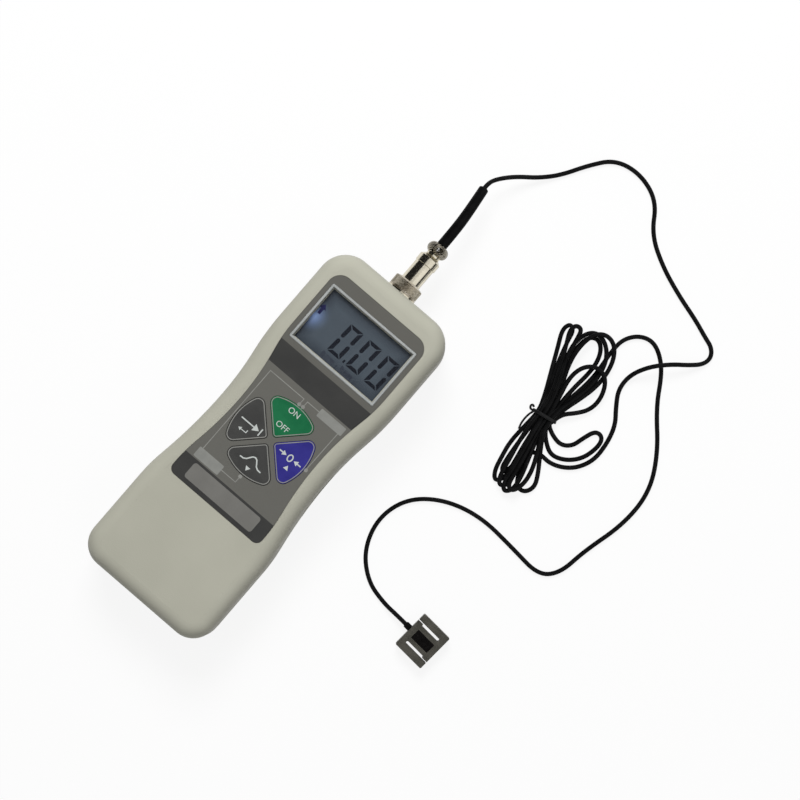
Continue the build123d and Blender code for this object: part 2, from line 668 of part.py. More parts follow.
def clamp_screws():
    shanks = clamp_rods(CLAMP_SCREW_RADIUS, -2.0, CLAMP_HEAD_SEAT)
    heads = clamp_rods(CLAMP_HEAD_RADIUS, CLAMP_HEAD_SEAT, CLAMP_HEAD_SEAT + CLAMP_HEAD_HEIGHT)
    screws = []
    for shank, head in zip(shanks, heads):
        head = fillet(head.edges().sort_by(Axis.Z)[-1], 0.4)
        screws.append(shank + head)
    return CLAMP_TURN * Compound(screws)


def plug_tail():
    """Rear barrel: a tube that necks down to the fixed half of the cable clamp."""
    cap = TAIL_SHOULDER - 0.2
    tube = turned([
        (BARREL_BORE, BARREL_END), (TAIL_RADIUS - 0.2, BARREL_END), (TAIL_RADIUS, BARREL_END + 0.2),
        (TAIL_RADIUS, TAIL_SHOULDER), (NECK_RADIUS, NECK_START), (NECK_RADIUS, CLAMP_START),
        (SLEEVE_RADIUS + 0.02, CLAMP_START), (SLEEVE_RADIUS + 0.02, cap), (BARREL_BORE, cap - 1.0),
    ])
    half = clamp_body() & bar(20, 20, -10, 0, 0, CLAMP_MIDDLE)
    for rod in clamp_rods(CLAMP_SCREW_RADIUS, -2.0, 1):
        half -= rod
    return tube + CLAMP_TURN * half


# ---------------------------------------------------------------- lead
def corner_radii(route):
    """The largest tangent arc that each corner's two runs allow, using 0.45 of the shorter run."""
    points = [Vector(*p) for p in route]
    radii = []
    for before, corner, after in zip(points, points[1:], points[2:]):
        turn = math.radians((corner - before).get_angle(after - corner))
        shorter = min((corner - before).length, (after - corner).length)
        radii.append(0.45 * shorter / math.tan(turn / 2))
    return radii


def tube(route, radius, name):
    """A round rod along straight runs that are joined by tangent arcs."""
    radii = corner_radii(route)
    path = FilletPolyline(route, radius=radii)
    section = Plane(origin=path @ 0, z_dir=path % 0) * Circle(radius)
    solid = sweep(section, path=path)
    expected = math.pi * radius**2 * path.length
    print(name, "length", round(path.length, 1), "volume/expected", round(solid.volume / expected, 4),
          "radii", [round(r, 1) for r in radii])
    return solid


def hank_block():
    outline = make_face(Polyline(HANK_OUTLINE, close=True))
    outline = fillet(outline.vertices(), 1.4)
    return extrude(outline, amount=HANK_HEIGHT)


def cord_hank():
    """The folded lead as one block, waisted all round where the tie holds it."""
    middle = Pos((TIE_LEFT + TIE_RIGHT) / 2, TIE_AT, HANK_HEIGHT / 2)
    groove = Box(TIE_RIGHT - TIE_LEFT + 8, TIE_WIDTH, HANK_HEIGHT + 2)
    return hank_block() - middle * groove + middle * tie_core(TIE_WIDTH)


def tie_core(width):
    """What the tie holds: the space inside its band, of the given width along Y."""
    return Box(TIE_RIGHT - TIE_LEFT - 2 * TIE_THICKNESS, width, HANK_HEIGHT - 2 * TIE_THICKNESS)


def hank_tie():
    middle = Pos((TIE_LEFT + TIE_RIGHT) / 2, TIE_AT, HANK_HEIGHT / 2)
    return middle * Box(TIE_RIGHT - TIE_LEFT, TIE_WIDTH, HANK_HEIGHT) - middle * tie_core(TIE_WIDTH + 1)


# ---------------------------------------------------------------- load cell
def load_cell_body():
    """S-beam: a block with two opposed stepped slots, a gauge pocket and a thread in each end."""
    body = Pos(0, 0, CELL_THICKNESS / 2) * Box(CELL_WIDTH, CELL_LENGTH, CELL_THICKNESS)
    body = chamfer(body.edges().filter_by(Axis.Z), 0.35)
    body = chamfer(body.edges().group_by(Axis.Z)[-1] + body.edges().group_by(Axis.Z)[0], 0.15)
    slot_middle = CELL_SLOT_OUTER - CELL_SLOT_WIDTH / 2
    slot = Pos(0, slot_middle) * SlotOverall(2 * CELL_SLOT_HALF, CELL_SLOT_WIDTH)
    slit_length = CELL_WIDTH / 2 - CELL_SLOT_HALF + 2.0
    slit_middle = CELL_SLOT_OUTER - CELL_SLIT_WIDTH / 2
    slit = Pos(-CELL_WIDTH / 2 + slit_length / 2 - 0.5, slit_middle)
    slit *= Rectangle(slit_length + 1.0, CELL_SLIT_WIDTH)
    opening = extrude(slot + slit, amount=CELL_THICKNESS)
    body -= opening
    body -= Rot(0, 0, 180) * opening
    body -= Pos(0, 0, CELL_THICKNESS / 2) * Box(POCKET_LENGTH, POCKET_WIDTH, CELL_THICKNESS + 1)
    depth = CELL_LENGTH / 2 - CELL_SLOT_OUTER
    for side in (-1, 1):
        centre = Pos(0, side * (CELL_LENGTH / 2 - depth / 2), CELL_THICKNESS / 2) * Rot(90, 0, 0)
        body -= centre * Cylinder(CELL_THREAD_RADIUS, depth + 0.5)
    body -= Pos(-6, 0, CELL_THICKNESS / 2) * Rot(0, 90, 0) * Cylinder(1.0, 6)
    return CELL_PLACE * body


def gauge_potting():
    size = (POCKET_LENGTH, POCKET_WIDTH)
    below = bar(*size, 0.15, 1.5)
    above = bar(*size, CELL_THICKNESS - 1.5, CELL_THICKNESS - 0.15)
    return CELL_PLACE * Compound([below, above])


def strain_gauges():
    pads = []
    for side in (-1, 1):
        for end in (-1, 1):
            pads.append(bar(2.6, 0.3, 2.0, 4.5, end * 2.6, side * (POCKET_WIDTH / 2 - 0.15)))
    return CELL_PLACE * Compound(pads)


def cell_boot():
    face = -CELL_WIDTH / 2
    axis = Rot(0, -90, 0)
    cone = Pos(face, 0, CELL_THICKNESS / 2) * axis * Cylinder(
        BOOT_RADIUS, BOOT_LENGTH, align=(Align.CENTER, Align.CENTER, Align.MIN))
    cone = chamfer(cone.edges().sort_by(Axis.X)[0], 0.35)
    spigot = Pos(face, 0, CELL_THICKNESS / 2) * axis * Cylinder(
        1.0, 2.0, align=(Align.CENTER, Align.CENTER, Align.MAX))
    return CELL_PLACE * (cone + spigot)


# ---------------------------------------------------------------- build every node
keep("front_shell", front_shell())
keep("rear_shell", rear_shell())
keep("keypad_overlay", keypad_overlay())
keep("display_bezel", display_bezel())
keep("display_window", display_window())
keep("display_panel", display_panel())
keep("display_backlight", display_backlight())
keep("display_strips", display_strips())
keep("main_board", main_board())
keep("board_chips", board_chips())
keep("key_switches", key_switches())
keep("case_screws", case_screws())
keep("stand_inserts", stand_inserts())
keep("battery_cells", battery_cells())
keep("battery_tray", battery_tray())
keep("data_port", data_port())
keep("port_pins", port_pins())
keep("charging_jack", charging_jack())
keep("socket_shell", socket_shell())
keep("socket_insert", socket_insert())
keep("socket_contacts", socket_contacts())
keep("socket_washer", socket_washer())
keep("socket_nut", socket_nut())
for key_name, key_angle in KEY_ANGLES.items():
    keep(key_name, key(key_angle))
keep("coupling_ring", coupling_ring())
keep("ring_clip", ring_clip())
keep("plug_barrel", plug_barrel())
keep("plug_insert", plug_insert())
keep("plug_contacts", plug_contacts())
keep("plug_tail", plug_tail())
keep("cable_clamp", cable_clamp())
keep("clamp_screws", clamp_screws())
keep("cable_sleeve", tube(SLEEVE_ROUTE, SLEEVE_RADIUS, "cable_sleeve"))
hank_space = hank_block()
cord_routes = {"cord_plug_run": PLUG_ROUTE, "cord_loop": LOOP_ROUTE, "cord_cell_run": CELL_ROUTE}
for cord_name, cord_route in cord_routes.items():
    keep(cord_name, tube(cord_route, CORD_DIAMETER / 2, cord_name) - hank_space)
keep("cord_hank", cord_hank())
keep("hank_tie", hank_tie())
keep("load_cell_body", load_cell_body())
keep("gauge_potting", gauge_potting())
keep("strain_gauges", strain_gauges())
keep("cell_boot", cell_boot())

for node, shape in made.items():
    export_step(shape, f"parts/{node}.step")
print(len(made), "nodes written")
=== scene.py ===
import math

import bmesh
import bpy
from mathutils import Matrix, Vector


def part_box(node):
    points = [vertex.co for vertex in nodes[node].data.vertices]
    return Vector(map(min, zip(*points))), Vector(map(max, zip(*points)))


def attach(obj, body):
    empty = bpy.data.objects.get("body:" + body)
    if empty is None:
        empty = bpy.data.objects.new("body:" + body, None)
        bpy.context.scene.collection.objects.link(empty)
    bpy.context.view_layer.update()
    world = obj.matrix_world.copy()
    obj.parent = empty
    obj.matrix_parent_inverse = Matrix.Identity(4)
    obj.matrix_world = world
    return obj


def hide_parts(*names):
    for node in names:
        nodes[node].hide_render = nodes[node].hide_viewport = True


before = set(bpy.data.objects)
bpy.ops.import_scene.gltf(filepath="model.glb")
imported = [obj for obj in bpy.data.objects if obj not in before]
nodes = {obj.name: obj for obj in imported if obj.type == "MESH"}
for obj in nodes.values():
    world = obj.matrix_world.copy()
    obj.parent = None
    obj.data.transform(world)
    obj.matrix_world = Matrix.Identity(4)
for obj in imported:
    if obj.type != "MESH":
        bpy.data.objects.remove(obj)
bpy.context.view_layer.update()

MM = 0.001


# ------------------------------------------------------------------ camera
# A short telephoto lens held about 0.85 m above the bench looks almost straight down.
# The camera is turned by 41 degrees, so that the gauge lies slantwise in view.
AIM = Vector((28.78, 50.96, 0.0)) * MM
CAMERA_TURN = math.radians(40.604)
CAMERA_RISE = math.radians(87.242)
CAMERA_DISTANCE = 850.06 * MM
SENSOR_WIDTH = 36.0
LENS_LENGTH = 87.93
NEAREST_SEEN = 10 * MM


def put(name, data):
    """A new object in the scene."""
    thing = bpy.data.objects.new(name, data)
    bpy.context.scene.collection.objects.link(thing)
    return thing


def point_along(thing, way):
    """Turns a camera or a lamp to look along a direction."""
    thing.rotation_mode = "QUATERNION"
    thing.rotation_quaternion = way.to_track_quat("-Z", "Y")


towards_camera = Vector((math.sin(CAMERA_TURN) * math.cos(CAMERA_RISE),
                         -math.cos(CAMERA_TURN) * math.cos(CAMERA_RISE), math.sin(CAMERA_RISE)))
camera_data = bpy.data.cameras.new("camera")
camera_data.sensor_width = SENSOR_WIDTH
camera_data.lens = LENS_LENGTH
camera_data.clip_start = NEAREST_SEEN
camera = put("camera", camera_data)
camera.location = AIM + towards_camera * CAMERA_DISTANCE
point_along(camera, -towards_camera)
bpy.context.scene.camera = camera
bpy.context.scene.view_settings.view_transform = "Standard"


# ------------------------------------------------------------------ floor and lights
# A matt white studio table. A large soft lamp stands beyond the gauge's left, a weak one on its
# right, and the room is pale. Bright metal and gloss show the room and three dark cards instead
# of the lamps, which gives them their contrast.
FLOOR_SIZE = 8.0
FLOOR_DROP = 0.05 * MM
FLOOR_WHITE = 0.92
FLOOR_BOUNCE = 0.40
FLOOR_ROUGHNESS = 0.75
WHITE_SHARE = 0.88
GLOSS_SHARE = 0.5
ROOM_STRENGTH = 0.28
CARD_BLACK = 0.02
CARD_ROUGHNESS = 0.9
LAMP_SIZE = 0.6
# Each lamp's place in metres and its power.
LAMPS = {"main_lamp": ((-0.5, 0.68, 1.05), 15.4), "fill_lamp": ((0.7, -0.2, 0.9), 1.2)}
# Each card as two corners of its lower edge and two of its upper edge.
CARDS = {
    "left_card": [(-0.45, -0.5, 0.0), (-0.45, 0.7, 0.0), (-0.13, 0.7, 1.0), (-0.13, -0.5, 1.0)],
    "top_card": [(-0.35, -0.5, 1.0), (0.4, -0.5, 1.0), (0.4, 0.15, 1.0), (-0.35, 0.15, 1.0)],
    "right_card": [(0.35, -0.5, 0.0), (0.35, 0.7, 0.0), (0.35, 0.7, 0.15), (0.35, -0.5, 0.15)],
}


class NodeTree:
    """A node tree that is being built, with short calls for its nodes and links."""

    def __init__(self, tree):
        self.tree = tree

    def feed(self, socket, value):
        """Links a socket to another node's output, or sets it to a number, a vector or a colour."""
        if isinstance(value, bpy.types.NodeSocket):
            self.tree.links.new(value, socket)
        else:
            socket.default_value = (*value, 1) if socket.type == "RGBA" else value

    def fill(self, made, inputs):
        """Feeds a node's inputs by their names."""
        for label, value in inputs.items():
            self.feed(made.inputs[label.replace("_", " ")], value)

    def new(self, kind, **modes):
        """A new node in the given modes."""
        made = self.tree.nodes.new(kind)
        for key, value in modes.items():
            setattr(made, key, value)
        return made

    def node(self, kind, output=0, modes=(), **inputs):
        """One output of a new node, with its inputs given by name."""
        made = self.new(kind, **dict(modes))
        self.fill(made, inputs)
        return made.outputs[output]

    def math(self, operation, *values, kind="ShaderNodeMath", output=0):
        """The result of a calculation with one, two or three values."""
        made = self.new(kind, operation=operation)
        for socket, value in zip(made.inputs, values):
            self.feed(socket, value)
        return made.outputs[output]


class Finish(NodeTree):
    """A material that is being built round its one main shader."""

    def __init__(self, name):
        self.material = bpy.data.materials.new(name)
        self.material.use_nodes = True
        super().__init__(self.material.node_tree)
        self.shader = self.tree.nodes["Principled BSDF"]

    def shade(self, **inputs):
        """Feeds the main shader and gives the finished material."""
        self.fill(self.shader, inputs)
        return self.material

    def place(self):
        return self.node("ShaderNodeTexCoord", "Object")

    def axis(self, letter):
        return self.node("ShaderNodeSeparateXYZ", letter, Vector=self.place())


def mesh_of(name, vertices, faces):
    mesh = bpy.data.meshes.new(name)
    mesh.from_pydata(vertices, [], faces)
    return mesh


def plate(name, corners):
    """A single flat face through the corners."""
    return put(name, mesh_of(name, corners, [tuple(range(len(corners)))]))


def seen_directly(tree, in_gloss=1.0):
    """1 for a ray from the camera or through glass, in_gloss for one off gloss, and 0 for any other."""
    rays = tree.new("ShaderNodeLightPath").outputs
    weaker = tree.math("MULTIPLY", rays["Is Glossy Ray"], in_gloss)
    level = tree.math("MAXIMUM", rays["Is Camera Ray"], weaker)
    return tree.math("MAXIMUM", level, rays["Is Transmission Ray"])


def tint(tree, value, first, second):
    """A colour that runs from first to second with value."""
    return tree.node("ShaderNodeMix", "Result", [("data_type", "RGBA")], Factor=value, A=first, B=second)


half = FLOOR_SIZE / 2
floor = plate("floor", [(x * half, y * half, -FLOOR_DROP) for x, y in ((-1, -1), (1, -1), (1, 1), (-1, 1))])
floor_white = Finish("floor_white")
floor_white.shade(
    Base_Color=tint(floor_white, seen_directly(floor_white), [FLOOR_BOUNCE] * 3, [FLOOR_WHITE] * 3),
    Roughness=FLOOR_ROUGHNESS)
glow = floor_white.node("ShaderNodeEmission", Color=(1, 1, 1))
share = floor_white.math("MULTIPLY", seen_directly(floor_white, GLOSS_SHARE), WHITE_SHARE)
blend = floor_white.new("ShaderNodeMixShader")
for socket, source in zip(blend.inputs, (share, floor_white.shader.outputs[0], glow)):
    floor_white.feed(socket, source)
floor_white.feed(floor_white.tree.nodes["Material Output"].inputs["Surface"], blend.outputs[0])
floor.data.materials.append(floor_white.material)

world = bpy.data.worlds.new("room")
bpy.context.scene.world = world
world.use_nodes = True
room = NodeTree(world.node_tree)
room_level = room.node("ShaderNodeMapRange", Value=seen_directly(room), To_Min=ROOM_STRENGTH, To_Max=1.0)
room.fill(room.tree.nodes["Background"], {"Color": (1, 1, 1), "Strength": room_level})

for name, (place, power) in LAMPS.items():
    light = bpy.data.lights.new(name, "AREA")
    light.size = LAMP_SIZE
    light.energy = power
    lamp = put(name, light)
    lamp.location = place
    point_along(lamp, AIM - Vector(place))
    lamp.visible_glossy = False

card_black = Finish("card_black").shade(Base_Color=[CARD_BLACK] * 3, Roughness=CARD_ROUGHNESS)
for name, corners in CARDS.items():
    card = plate(name, corners)
    card.data.materials.append(card_black)
    for ray in ("camera", "diffuse", "shadow", "transmission"):
        setattr(card, "visible_" + ray, False)


# ------------------------------------------------------------------ lead
# A 2 mm screened lead with a matt black jacket, about 1.6 m from the sleeve to the load cell.
# Its middle is folded into a loose hank, with one small loop beside it, and lies on the bench.
LEAD_WIDTH = 2.0 * MM

# Routes in millimetres. A point given without a height is on the bench, LYING above its top.
LYING = 1.0
PLUG_ROUTE = [
    (-2.5, 142.6, 13.6), (-3.05, 146.4, 12.63), (-0.4, 151.7, 9.8), (4.6, 157.8, 6), (11.6, 163.8, 2.6),
    (18.2, 171.4), (24.2, 181.9), (31.8, 192), (44.4, 194.4), (57.4, 189.8), (65, 177.4), (78, 169.6),
    (92, 164.4), (103.5, 161.2), (112, 158), (116.8, 156.5), (119.6, 152.9), (118.8, 148.4, 1.4),
    (114.2, 143.8, 3.6), (108, 138.8, 6), (101.6, 132, 6), (97.6, 124.2, 2.4), (97.8, 116.2),
    (102.2, 109.4), (107, 103.4), (109.4, 94.6), (109.7, 85.2), (105.2, 76.9), (97, 72.2),
    (89.4, 72.8, 1.2),
]
INTO_HANK = [(85.6, 69.6), (84.6, 63), (83.9, 56.8), (81.6, 56.6), (80.4, 63, 1.4), (79.4, 75, 2.4)]
LOOP_ROUTE = [
    (85.1, 84.5, 1.3), (89.3, 82.3, 1.1), (94.5, 81.4), (98.6, 84.5), (100, 90), (101.8, 95.3),
    (104.7, 96.3), (107, 94.3), (107.1, 89.4), (105.3, 83), (100.6, 77.8), (94.2, 75.2),
    (88.8, 78.2, 1.1), (84.6, 82.6, 1.3),
]
OUT_OF_HANK = [(83.8, 96, 1.4), (85.4, 104.6), (86.2, 113), (85.6, 120.4)]
CELL_ROUTE = [
    (84.9, 127.2, 1.2), (85.3, 134), (89.2, 139.6), (95.2, 142), (101.4, 139.7), (107.8, 133.8),
    (115.3, 121), (128.6, 106.6), (137, 91), (137.4, 73), (132, 53), (130.2, 39.2), (123.5, 32.2),
    (108.4, 33.8), (88.5, 35.3), (71.5, 30.6), (59, 20.5), (54.8, 6), (59.2, -8.5), (69.6, -17.8),
    (81, -20.4, 1.2), (88.54, -20.55, 3.25), (93.53, -20.92, 3.25),
]
# The hank's bights beyond the tie, towards the far end and towards the near end of the gauge.
FAR_BIGHTS = [
    [(76.2, 95, 1.2), (71.8, 104), (69, 112.6), (67.4, 118.4), (66.4, 123.2), (63.4, 124.4),
     (62.4, 120.2), (66, 113), (70.4, 103.6), (75, 94)],
    [(76.8, 97, 3.6), (72.4, 107, 2.9), (67.8, 116.6, 2.9), (65.1, 121.8, 2.9), (65.7, 125.4, 2.9),
     (69, 125.6, 2.9), (70.1, 120.4, 2.9), (71.6, 113, 2.9), (74.4, 105, 2.9), (77.6, 96, 2.9)],
    [(78.9, 96, 3.2), (76.4, 105, 3), (73.6, 113, 4.4), (73, 121, 4.6), (74.4, 127.4, 4.6),
     (78.4, 130.6, 4.4), (83.6, 129.8, 3.8), (87.6, 125.2, 3), (89.6, 118.4, 2.4), (89.8, 110.6, 2.2),
     (88, 102.4, 2.6), (85.6, 94.4, 3.2)],
    [(78.2, 97, 4.6), (74.4, 106, 4.6), (71.2, 113.4, 2.6), (70.1, 120.4, 2.6), (72, 126.6, 2.6),
     (76, 129, 2.6), (81, 127.4, 2.6), (85.2, 123.2, 2.6), (87.4, 117, 2.4), (87.9, 109.6, 2.4),
     (86.6, 101.6, 3.2), (84.6, 94.4, 4)],
    [(79.6, 96, 2), (76.8, 105), (73.4, 112.6), (72.2, 119.6), (73.6, 125.6), (77.4, 127.2), (81, 124.6),
     (83.2, 119.4), (83.6, 112.6, 1.2), (82.8, 105, 1.6), (82.6, 96.4, 3)],
    [(86.4, 92, 3), (90.6, 96.2, 2.4), (94, 101, 1.4), (94.8, 106.8, 2.4), (92.6, 113.2, 4.4),
     (88.6, 117, 4.6), (83.4, 116.8, 4.6), (79.4, 112.6, 4.6), (78.3, 105.6, 4.6), (80.4, 97, 4.6)],
]
NEAR_BIGHTS = [
    [(81.4, 77, 2.9), (84.2, 67, 2.9), (87, 58.4, 2.9), (88.2, 53.4, 2.9), (85.6, 50.6, 2.9),
     (83, 53.8, 2.9), (81.6, 62, 2.9), (79.8, 70, 2.9), (78.6, 79, 2.9)],
    [(77.2, 77), (76.9, 68), (78.4, 60.6), (79.8, 54.6), (82.6, 51), (85.2, 54.2), (84.2, 61.6),
     (82.6, 70), (81.2, 79)],
    [(84.6, 77, 2.6), (87.8, 67.4, 2.9), (90.4, 59.6, 2.9), (91.2, 53, 2.9), (88.6, 49.9, 2.9),
     (86.2, 53, 3.4), (85.2, 60.6, 4.6), (83.4, 69.6, 4.6), (81.6, 79, 4.6)],
    [(85.4, 79.6, 4.6), (90.2, 72.4, 3), (95, 65.8), (97.8, 60.2), (95.8, 55.5), (91.6, 55.3),
     (88.8, 59.6), (86.4, 67.6), (83.4, 77.6)],
    [(84.8, 79.6, 4), (89, 71.8, 4.6), (92.2, 64.6, 3.2), (93.2, 58, 3), (91.4, 52.2, 4.6),
     (88.2, 53, 4.6), (87, 60, 4.6), (85.6, 68, 4.4), (83.2, 77.6, 3)],
]
# Where each strand passes the tie: thirteen places side by side, at three heights.
TIE_ROW = 86.5
FIRST_STRAND = 77.75
STRAND_STEP = 0.6
STRAND_HEIGHTS = (1.55, 4.75, 3.15)
# The lead's way through the hank: a number is a strand's place under the tie.
HANK_ORDER = [
    INTO_HANK, 2, FAR_BIGHTS[1], 3, NEAR_BIGHTS[0], 1, FAR_BIGHTS[0], 0, NEAR_BIGHTS[1], 4,
    FAR_BIGHTS[2], 11, LOOP_ROUTE, 12, FAR_BIGHTS[5], 8, NEAR_BIGHTS[2], 5, FAR_BIGHTS[3], 10,
    NEAR_BIGHTS[3], 6, FAR_BIGHTS[4], 9, NEAR_BIGHTS[4], 7, OUT_OF_HANK,
]


def nurbs_curve(name, route, radius=0.0, steps=8):
    """A smooth free line with the route's points as its control points, given in millimetres."""
    data = bpy.data.curves.new(name, "CURVE")
    data.dimensions = "3D"
    data.resolution_u = steps
    data.bevel_depth = radius
    data.bevel_resolution = 3
    data.use_fill_caps = True
    spline = data.splines.new("NURBS")
    spline.points.add(len(route) - 1)
    for point, place in zip(spline.points, route):
        point.co = (*(Vector((*place, LYING)[:3]) * MM), 1.0)
    spline.order_u = 3
    spline.use_endpoint_u = True
    return put(name, data)


def noise(tree, size, detail=3.0, stretch=(1, 1, 1), turn=0.0, soft=0.55):
    """A cloud pattern on object coordinates. size is that of one cloud in millimetres."""
    place = tree.node("ShaderNodeMapping", Vector=tree.place(), Rotation=(0, 0, turn),
                      Scale=[share / (size * MM) for share in stretch])
    return tree.node("ShaderNodeTexNoise", "Fac", Vector=place, Scale=1.0, Detail=detail, Roughness=soft)


# What a cloud pattern mostly spans, and the narrower part that colours drift with.
CLOUD_RANGE = (0.3, 0.7)
DRIFT_RANGE = (0.35, 0.65)


def between(tree, value, low, high, to_low=0.0, to_high=1.0):
    """value moved from one range to another, held at both ends."""
    return tree.node("ShaderNodeMapRange", Value=value, From_Min=low, From_Max=high, To_Min=to_low,
                     To_Max=to_high)


def spread(tree, pattern, low, high):
    """A cloud pattern's usual range moved to another range."""
    return between(tree, pattern, *CLOUD_RANGE, low, high)


def relief(tree, height, depth):
    """A surface direction with a relief of the given depth in millimetres."""
    return tree.node("ShaderNodeBump", Distance=depth * MM, Height=height)


def surface(name, first, second, patch, grain, depth, rough, metallic=0.0, stretch=(1, 1, 1), turn=0.0,
            gloss=0.5):
    """A finish whose colour drifts between two tones, with a grain in its gloss and height."""
    finish = Finish(name)
    drift = between(finish, noise(finish, patch, 2.0), *DRIFT_RANGE)
    fine = noise(finish, grain, 4.0, stretch, turn)
    return finish.shade(Base_Color=tint(finish, drift, first, second), Roughness=spread(finish, fine, *rough),
                        Normal=relief(finish, fine, depth), Metallic=metallic, Specular_IOR_Level=gloss)


def dress(material, *pieces):
    """Gives pieces, and CAD nodes by their names, their one material."""
    for piece in pieces:
        piece = nodes[piece] if isinstance(piece, str) else piece
        piece.data.materials.clear()
        piece.data.materials.append(material)


lead_route = list(PLUG_ROUTE)
for leg in HANK_ORDER:
    if isinstance(leg, int):
        leg = [(FIRST_STRAND + STRAND_STEP * leg, TIE_ROW, STRAND_HEIGHTS[leg % 3])]
    lead_route += leg
lead = nurbs_curve("lead", lead_route + CELL_ROUTE, LEAD_WIDTH / 2)
dress(surface("lead_jacket", (0.003, 0.003, 0.0032), (0.006, 0.006, 0.0063), 6, 0.35, 0.02, (0.45, 0.65),
              gloss=0.09), lead)
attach(lead, "sensor_lead")
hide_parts("cord_plug_run", "cord_loop", "cord_hank", "cord_cell_run")


# ------------------------------------------------------------------ cable sleeve
# Black heat-shrink tube over the lead, gripped by the plug's clamp. It bends with the lead
# and narrows a little towards its free end, where its cut edge has drawn in and rounded.
SLEEVE_ROUTE = [(0.0, 103.4, 18.0), (0.0, 119.5, 18.0), (-0.9, 131.5, 16.4), (-2.5, 142.6, 13.6)]
SLEEVE_RADIUS = 2.42
SLEEVE_END_RADIUS = 2.2
SLEEVE_EDGE = 0.55
SLEEVE_SIDES = 40
MERGE_DISTANCE = 0.001 * MM


def centreline(route, steps):
    """The points in metres that a smooth line through the route passes."""
    guide = nurbs_curve("guide", route, steps=steps)
    mesh = bpy.data.meshes.new_from_object(guide)
    bpy.data.objects.remove(guide)
    return [vertex.co.copy() for vertex in mesh.vertices]


def ring_of(radius, count):
    """The points of a circle, as (side, up) distances."""
    step = 2 * math.pi / count
    return [(radius * math.cos(i * step), radius * math.sin(i * step)) for i in range(count)]


def ring_faces(rows, count, closed=False, start=0):
    """Four-sided faces between rows of count points, and from the last row to the first if closed."""
    faces = []
    for row in range(rows if closed else rows - 1):
        this, other = start + row * count, start + (row + 1) % rows * count
        for i in range(count):
            after = (i + 1) % count
            faces.append((this + i, this + after, other + after, other + i))
    return faces


def new_piece(name, mesh, smooth=False):
    """A piece with a cleaned mesh whose faces point outwards."""
    shape = bmesh.new()
    shape.from_mesh(mesh)
    bmesh.ops.remove_doubles(shape, verts=shape.verts, dist=MERGE_DISTANCE)
    bmesh.ops.recalc_face_normals(shape, faces=shape.faces)
    shape.to_mesh(mesh)
    shape.free()
    mesh.name = name
    if smooth:
        mesh.shade_smooth()
    return put(name, mesh)


def swept(name, line, outlines, side):
    """A closed skin through one outline at each point of the line, square to it."""
    vertices = []
    for i, (point, outline) in enumerate(zip(line, outlines)):
        ahead = line[min(i + 1, len(line) - 1)] - line[max(i - 1, 0)]
        ahead.normalize()
        side = (side - ahead * side.dot(ahead)).normalized()
        up = ahead.cross(side)
        vertices += [point + side * s + up * u for s, u in outline]
    count = len(outlines[0])
    ends = [tuple(range(count)), tuple(range(len(vertices) - count, len(vertices)))]
    return new_piece(name, mesh_of(name, vertices, ends + ring_faces(len(line), count)), smooth=True)


sleeve_line = centreline(SLEEVE_ROUTE, 16)
last = len(sleeve_line) - 1
narrowing = SLEEVE_END_RADIUS - SLEEVE_RADIUS
sleeve_radii = [SLEEVE_RADIUS + narrowing * (i / last) ** 2 for i in range(last + 1)]
end_point = sleeve_line[-1]
end_way = (end_point - sleeve_line[-2]).normalized()
for quarter in (0.25, 0.5, 0.75, 1.0):
    bend = quarter * math.pi / 2
    sleeve_line.append(end_point + end_way * (SLEEVE_EDGE * MM * math.sin(bend)))
    sleeve_radii.append(SLEEVE_END_RADIUS - SLEEVE_EDGE * (1 - math.cos(bend)))
sleeve_rings = [ring_of(radius * MM, SLEEVE_SIDES) for radius in sleeve_radii]
sleeve = swept("sleeve", sleeve_line, sleeve_rings, Vector((1, 0, 0)))
sleeve_rubber = surface("sleeve_rubber", (0.0026, 0.0026, 0.0028), (0.005, 0.005, 0.0053), 4, 0.5, 0.03,
                        (0.4, 0.55), stretch=(1, 0.25, 1), gloss=0.06)
dress(sleeve_rubber, sleeve)
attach(sleeve, "sensor_lead")
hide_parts("cable_sleeve")


# ------------------------------------------------------------------ hank tie
# A plastic-covered wire tie: a flat strip wrapped slantwise round the hank, with its ends
# twisted together beside it. One end curls up and the other lies along the strands.
TIE_WRAP = [
    (75.2, 85.2, 3.4), (76.4, 85.3, 5.4), (78.5, 85.7, 6.1), (81.4, 86.2, 6.15), (84.0, 86.6, 6.1),
    (86.0, 87.2, 5.4), (86.6, 87.4, 3.0), (86.0, 87.2, 0.7), (84.2, 86.9, 0.32), (81.4, 86.5, 0.32),
    (78.4, 86.1, 0.32), (76.2, 85.6, 0.7), (75.3, 85.3, 2.4), (75.4, 85.2, 4.2),
]
TIE_CURL = [(75.6, 85.0, 3.6), (74.6, 84.7, 3.9), (73.8, 85.0, 4.2), (73.3, 86.1, 4.4), (74.1, 86.9, 4.3),
            (74.8, 86.2, 4.0)]
TIE_TAIL = [(76.4, 86.0, 3.6), (75.6, 84.0, 3.0), (75.1, 81.6, 2.3), (75.1, 79.0, 1.5), (75.4, 76.9, 1.0),
            (76.1, 75.0, 1.0)]
# The tie's width and thickness, where it goes round the hank and where it is twisted.
TIE_BAND = (1.5 * MM, 0.5 * MM)
TIE_END = (1.0 * MM, 0.7 * MM)
TIE_SIDES = 12


def strip(name, route, size):
    """A flat oval strip of the given width and thickness along a route."""
    outline = []
    for x, y in ring_of(1.0, TIE_SIDES):
        outline.append((math.copysign(abs(x) ** 0.5, x) * size[0] / 2, y * size[1] / 2))
    line = centreline(route, 10)
    return swept(name, line, [outline] * len(line), Vector((0, 1, 0)))


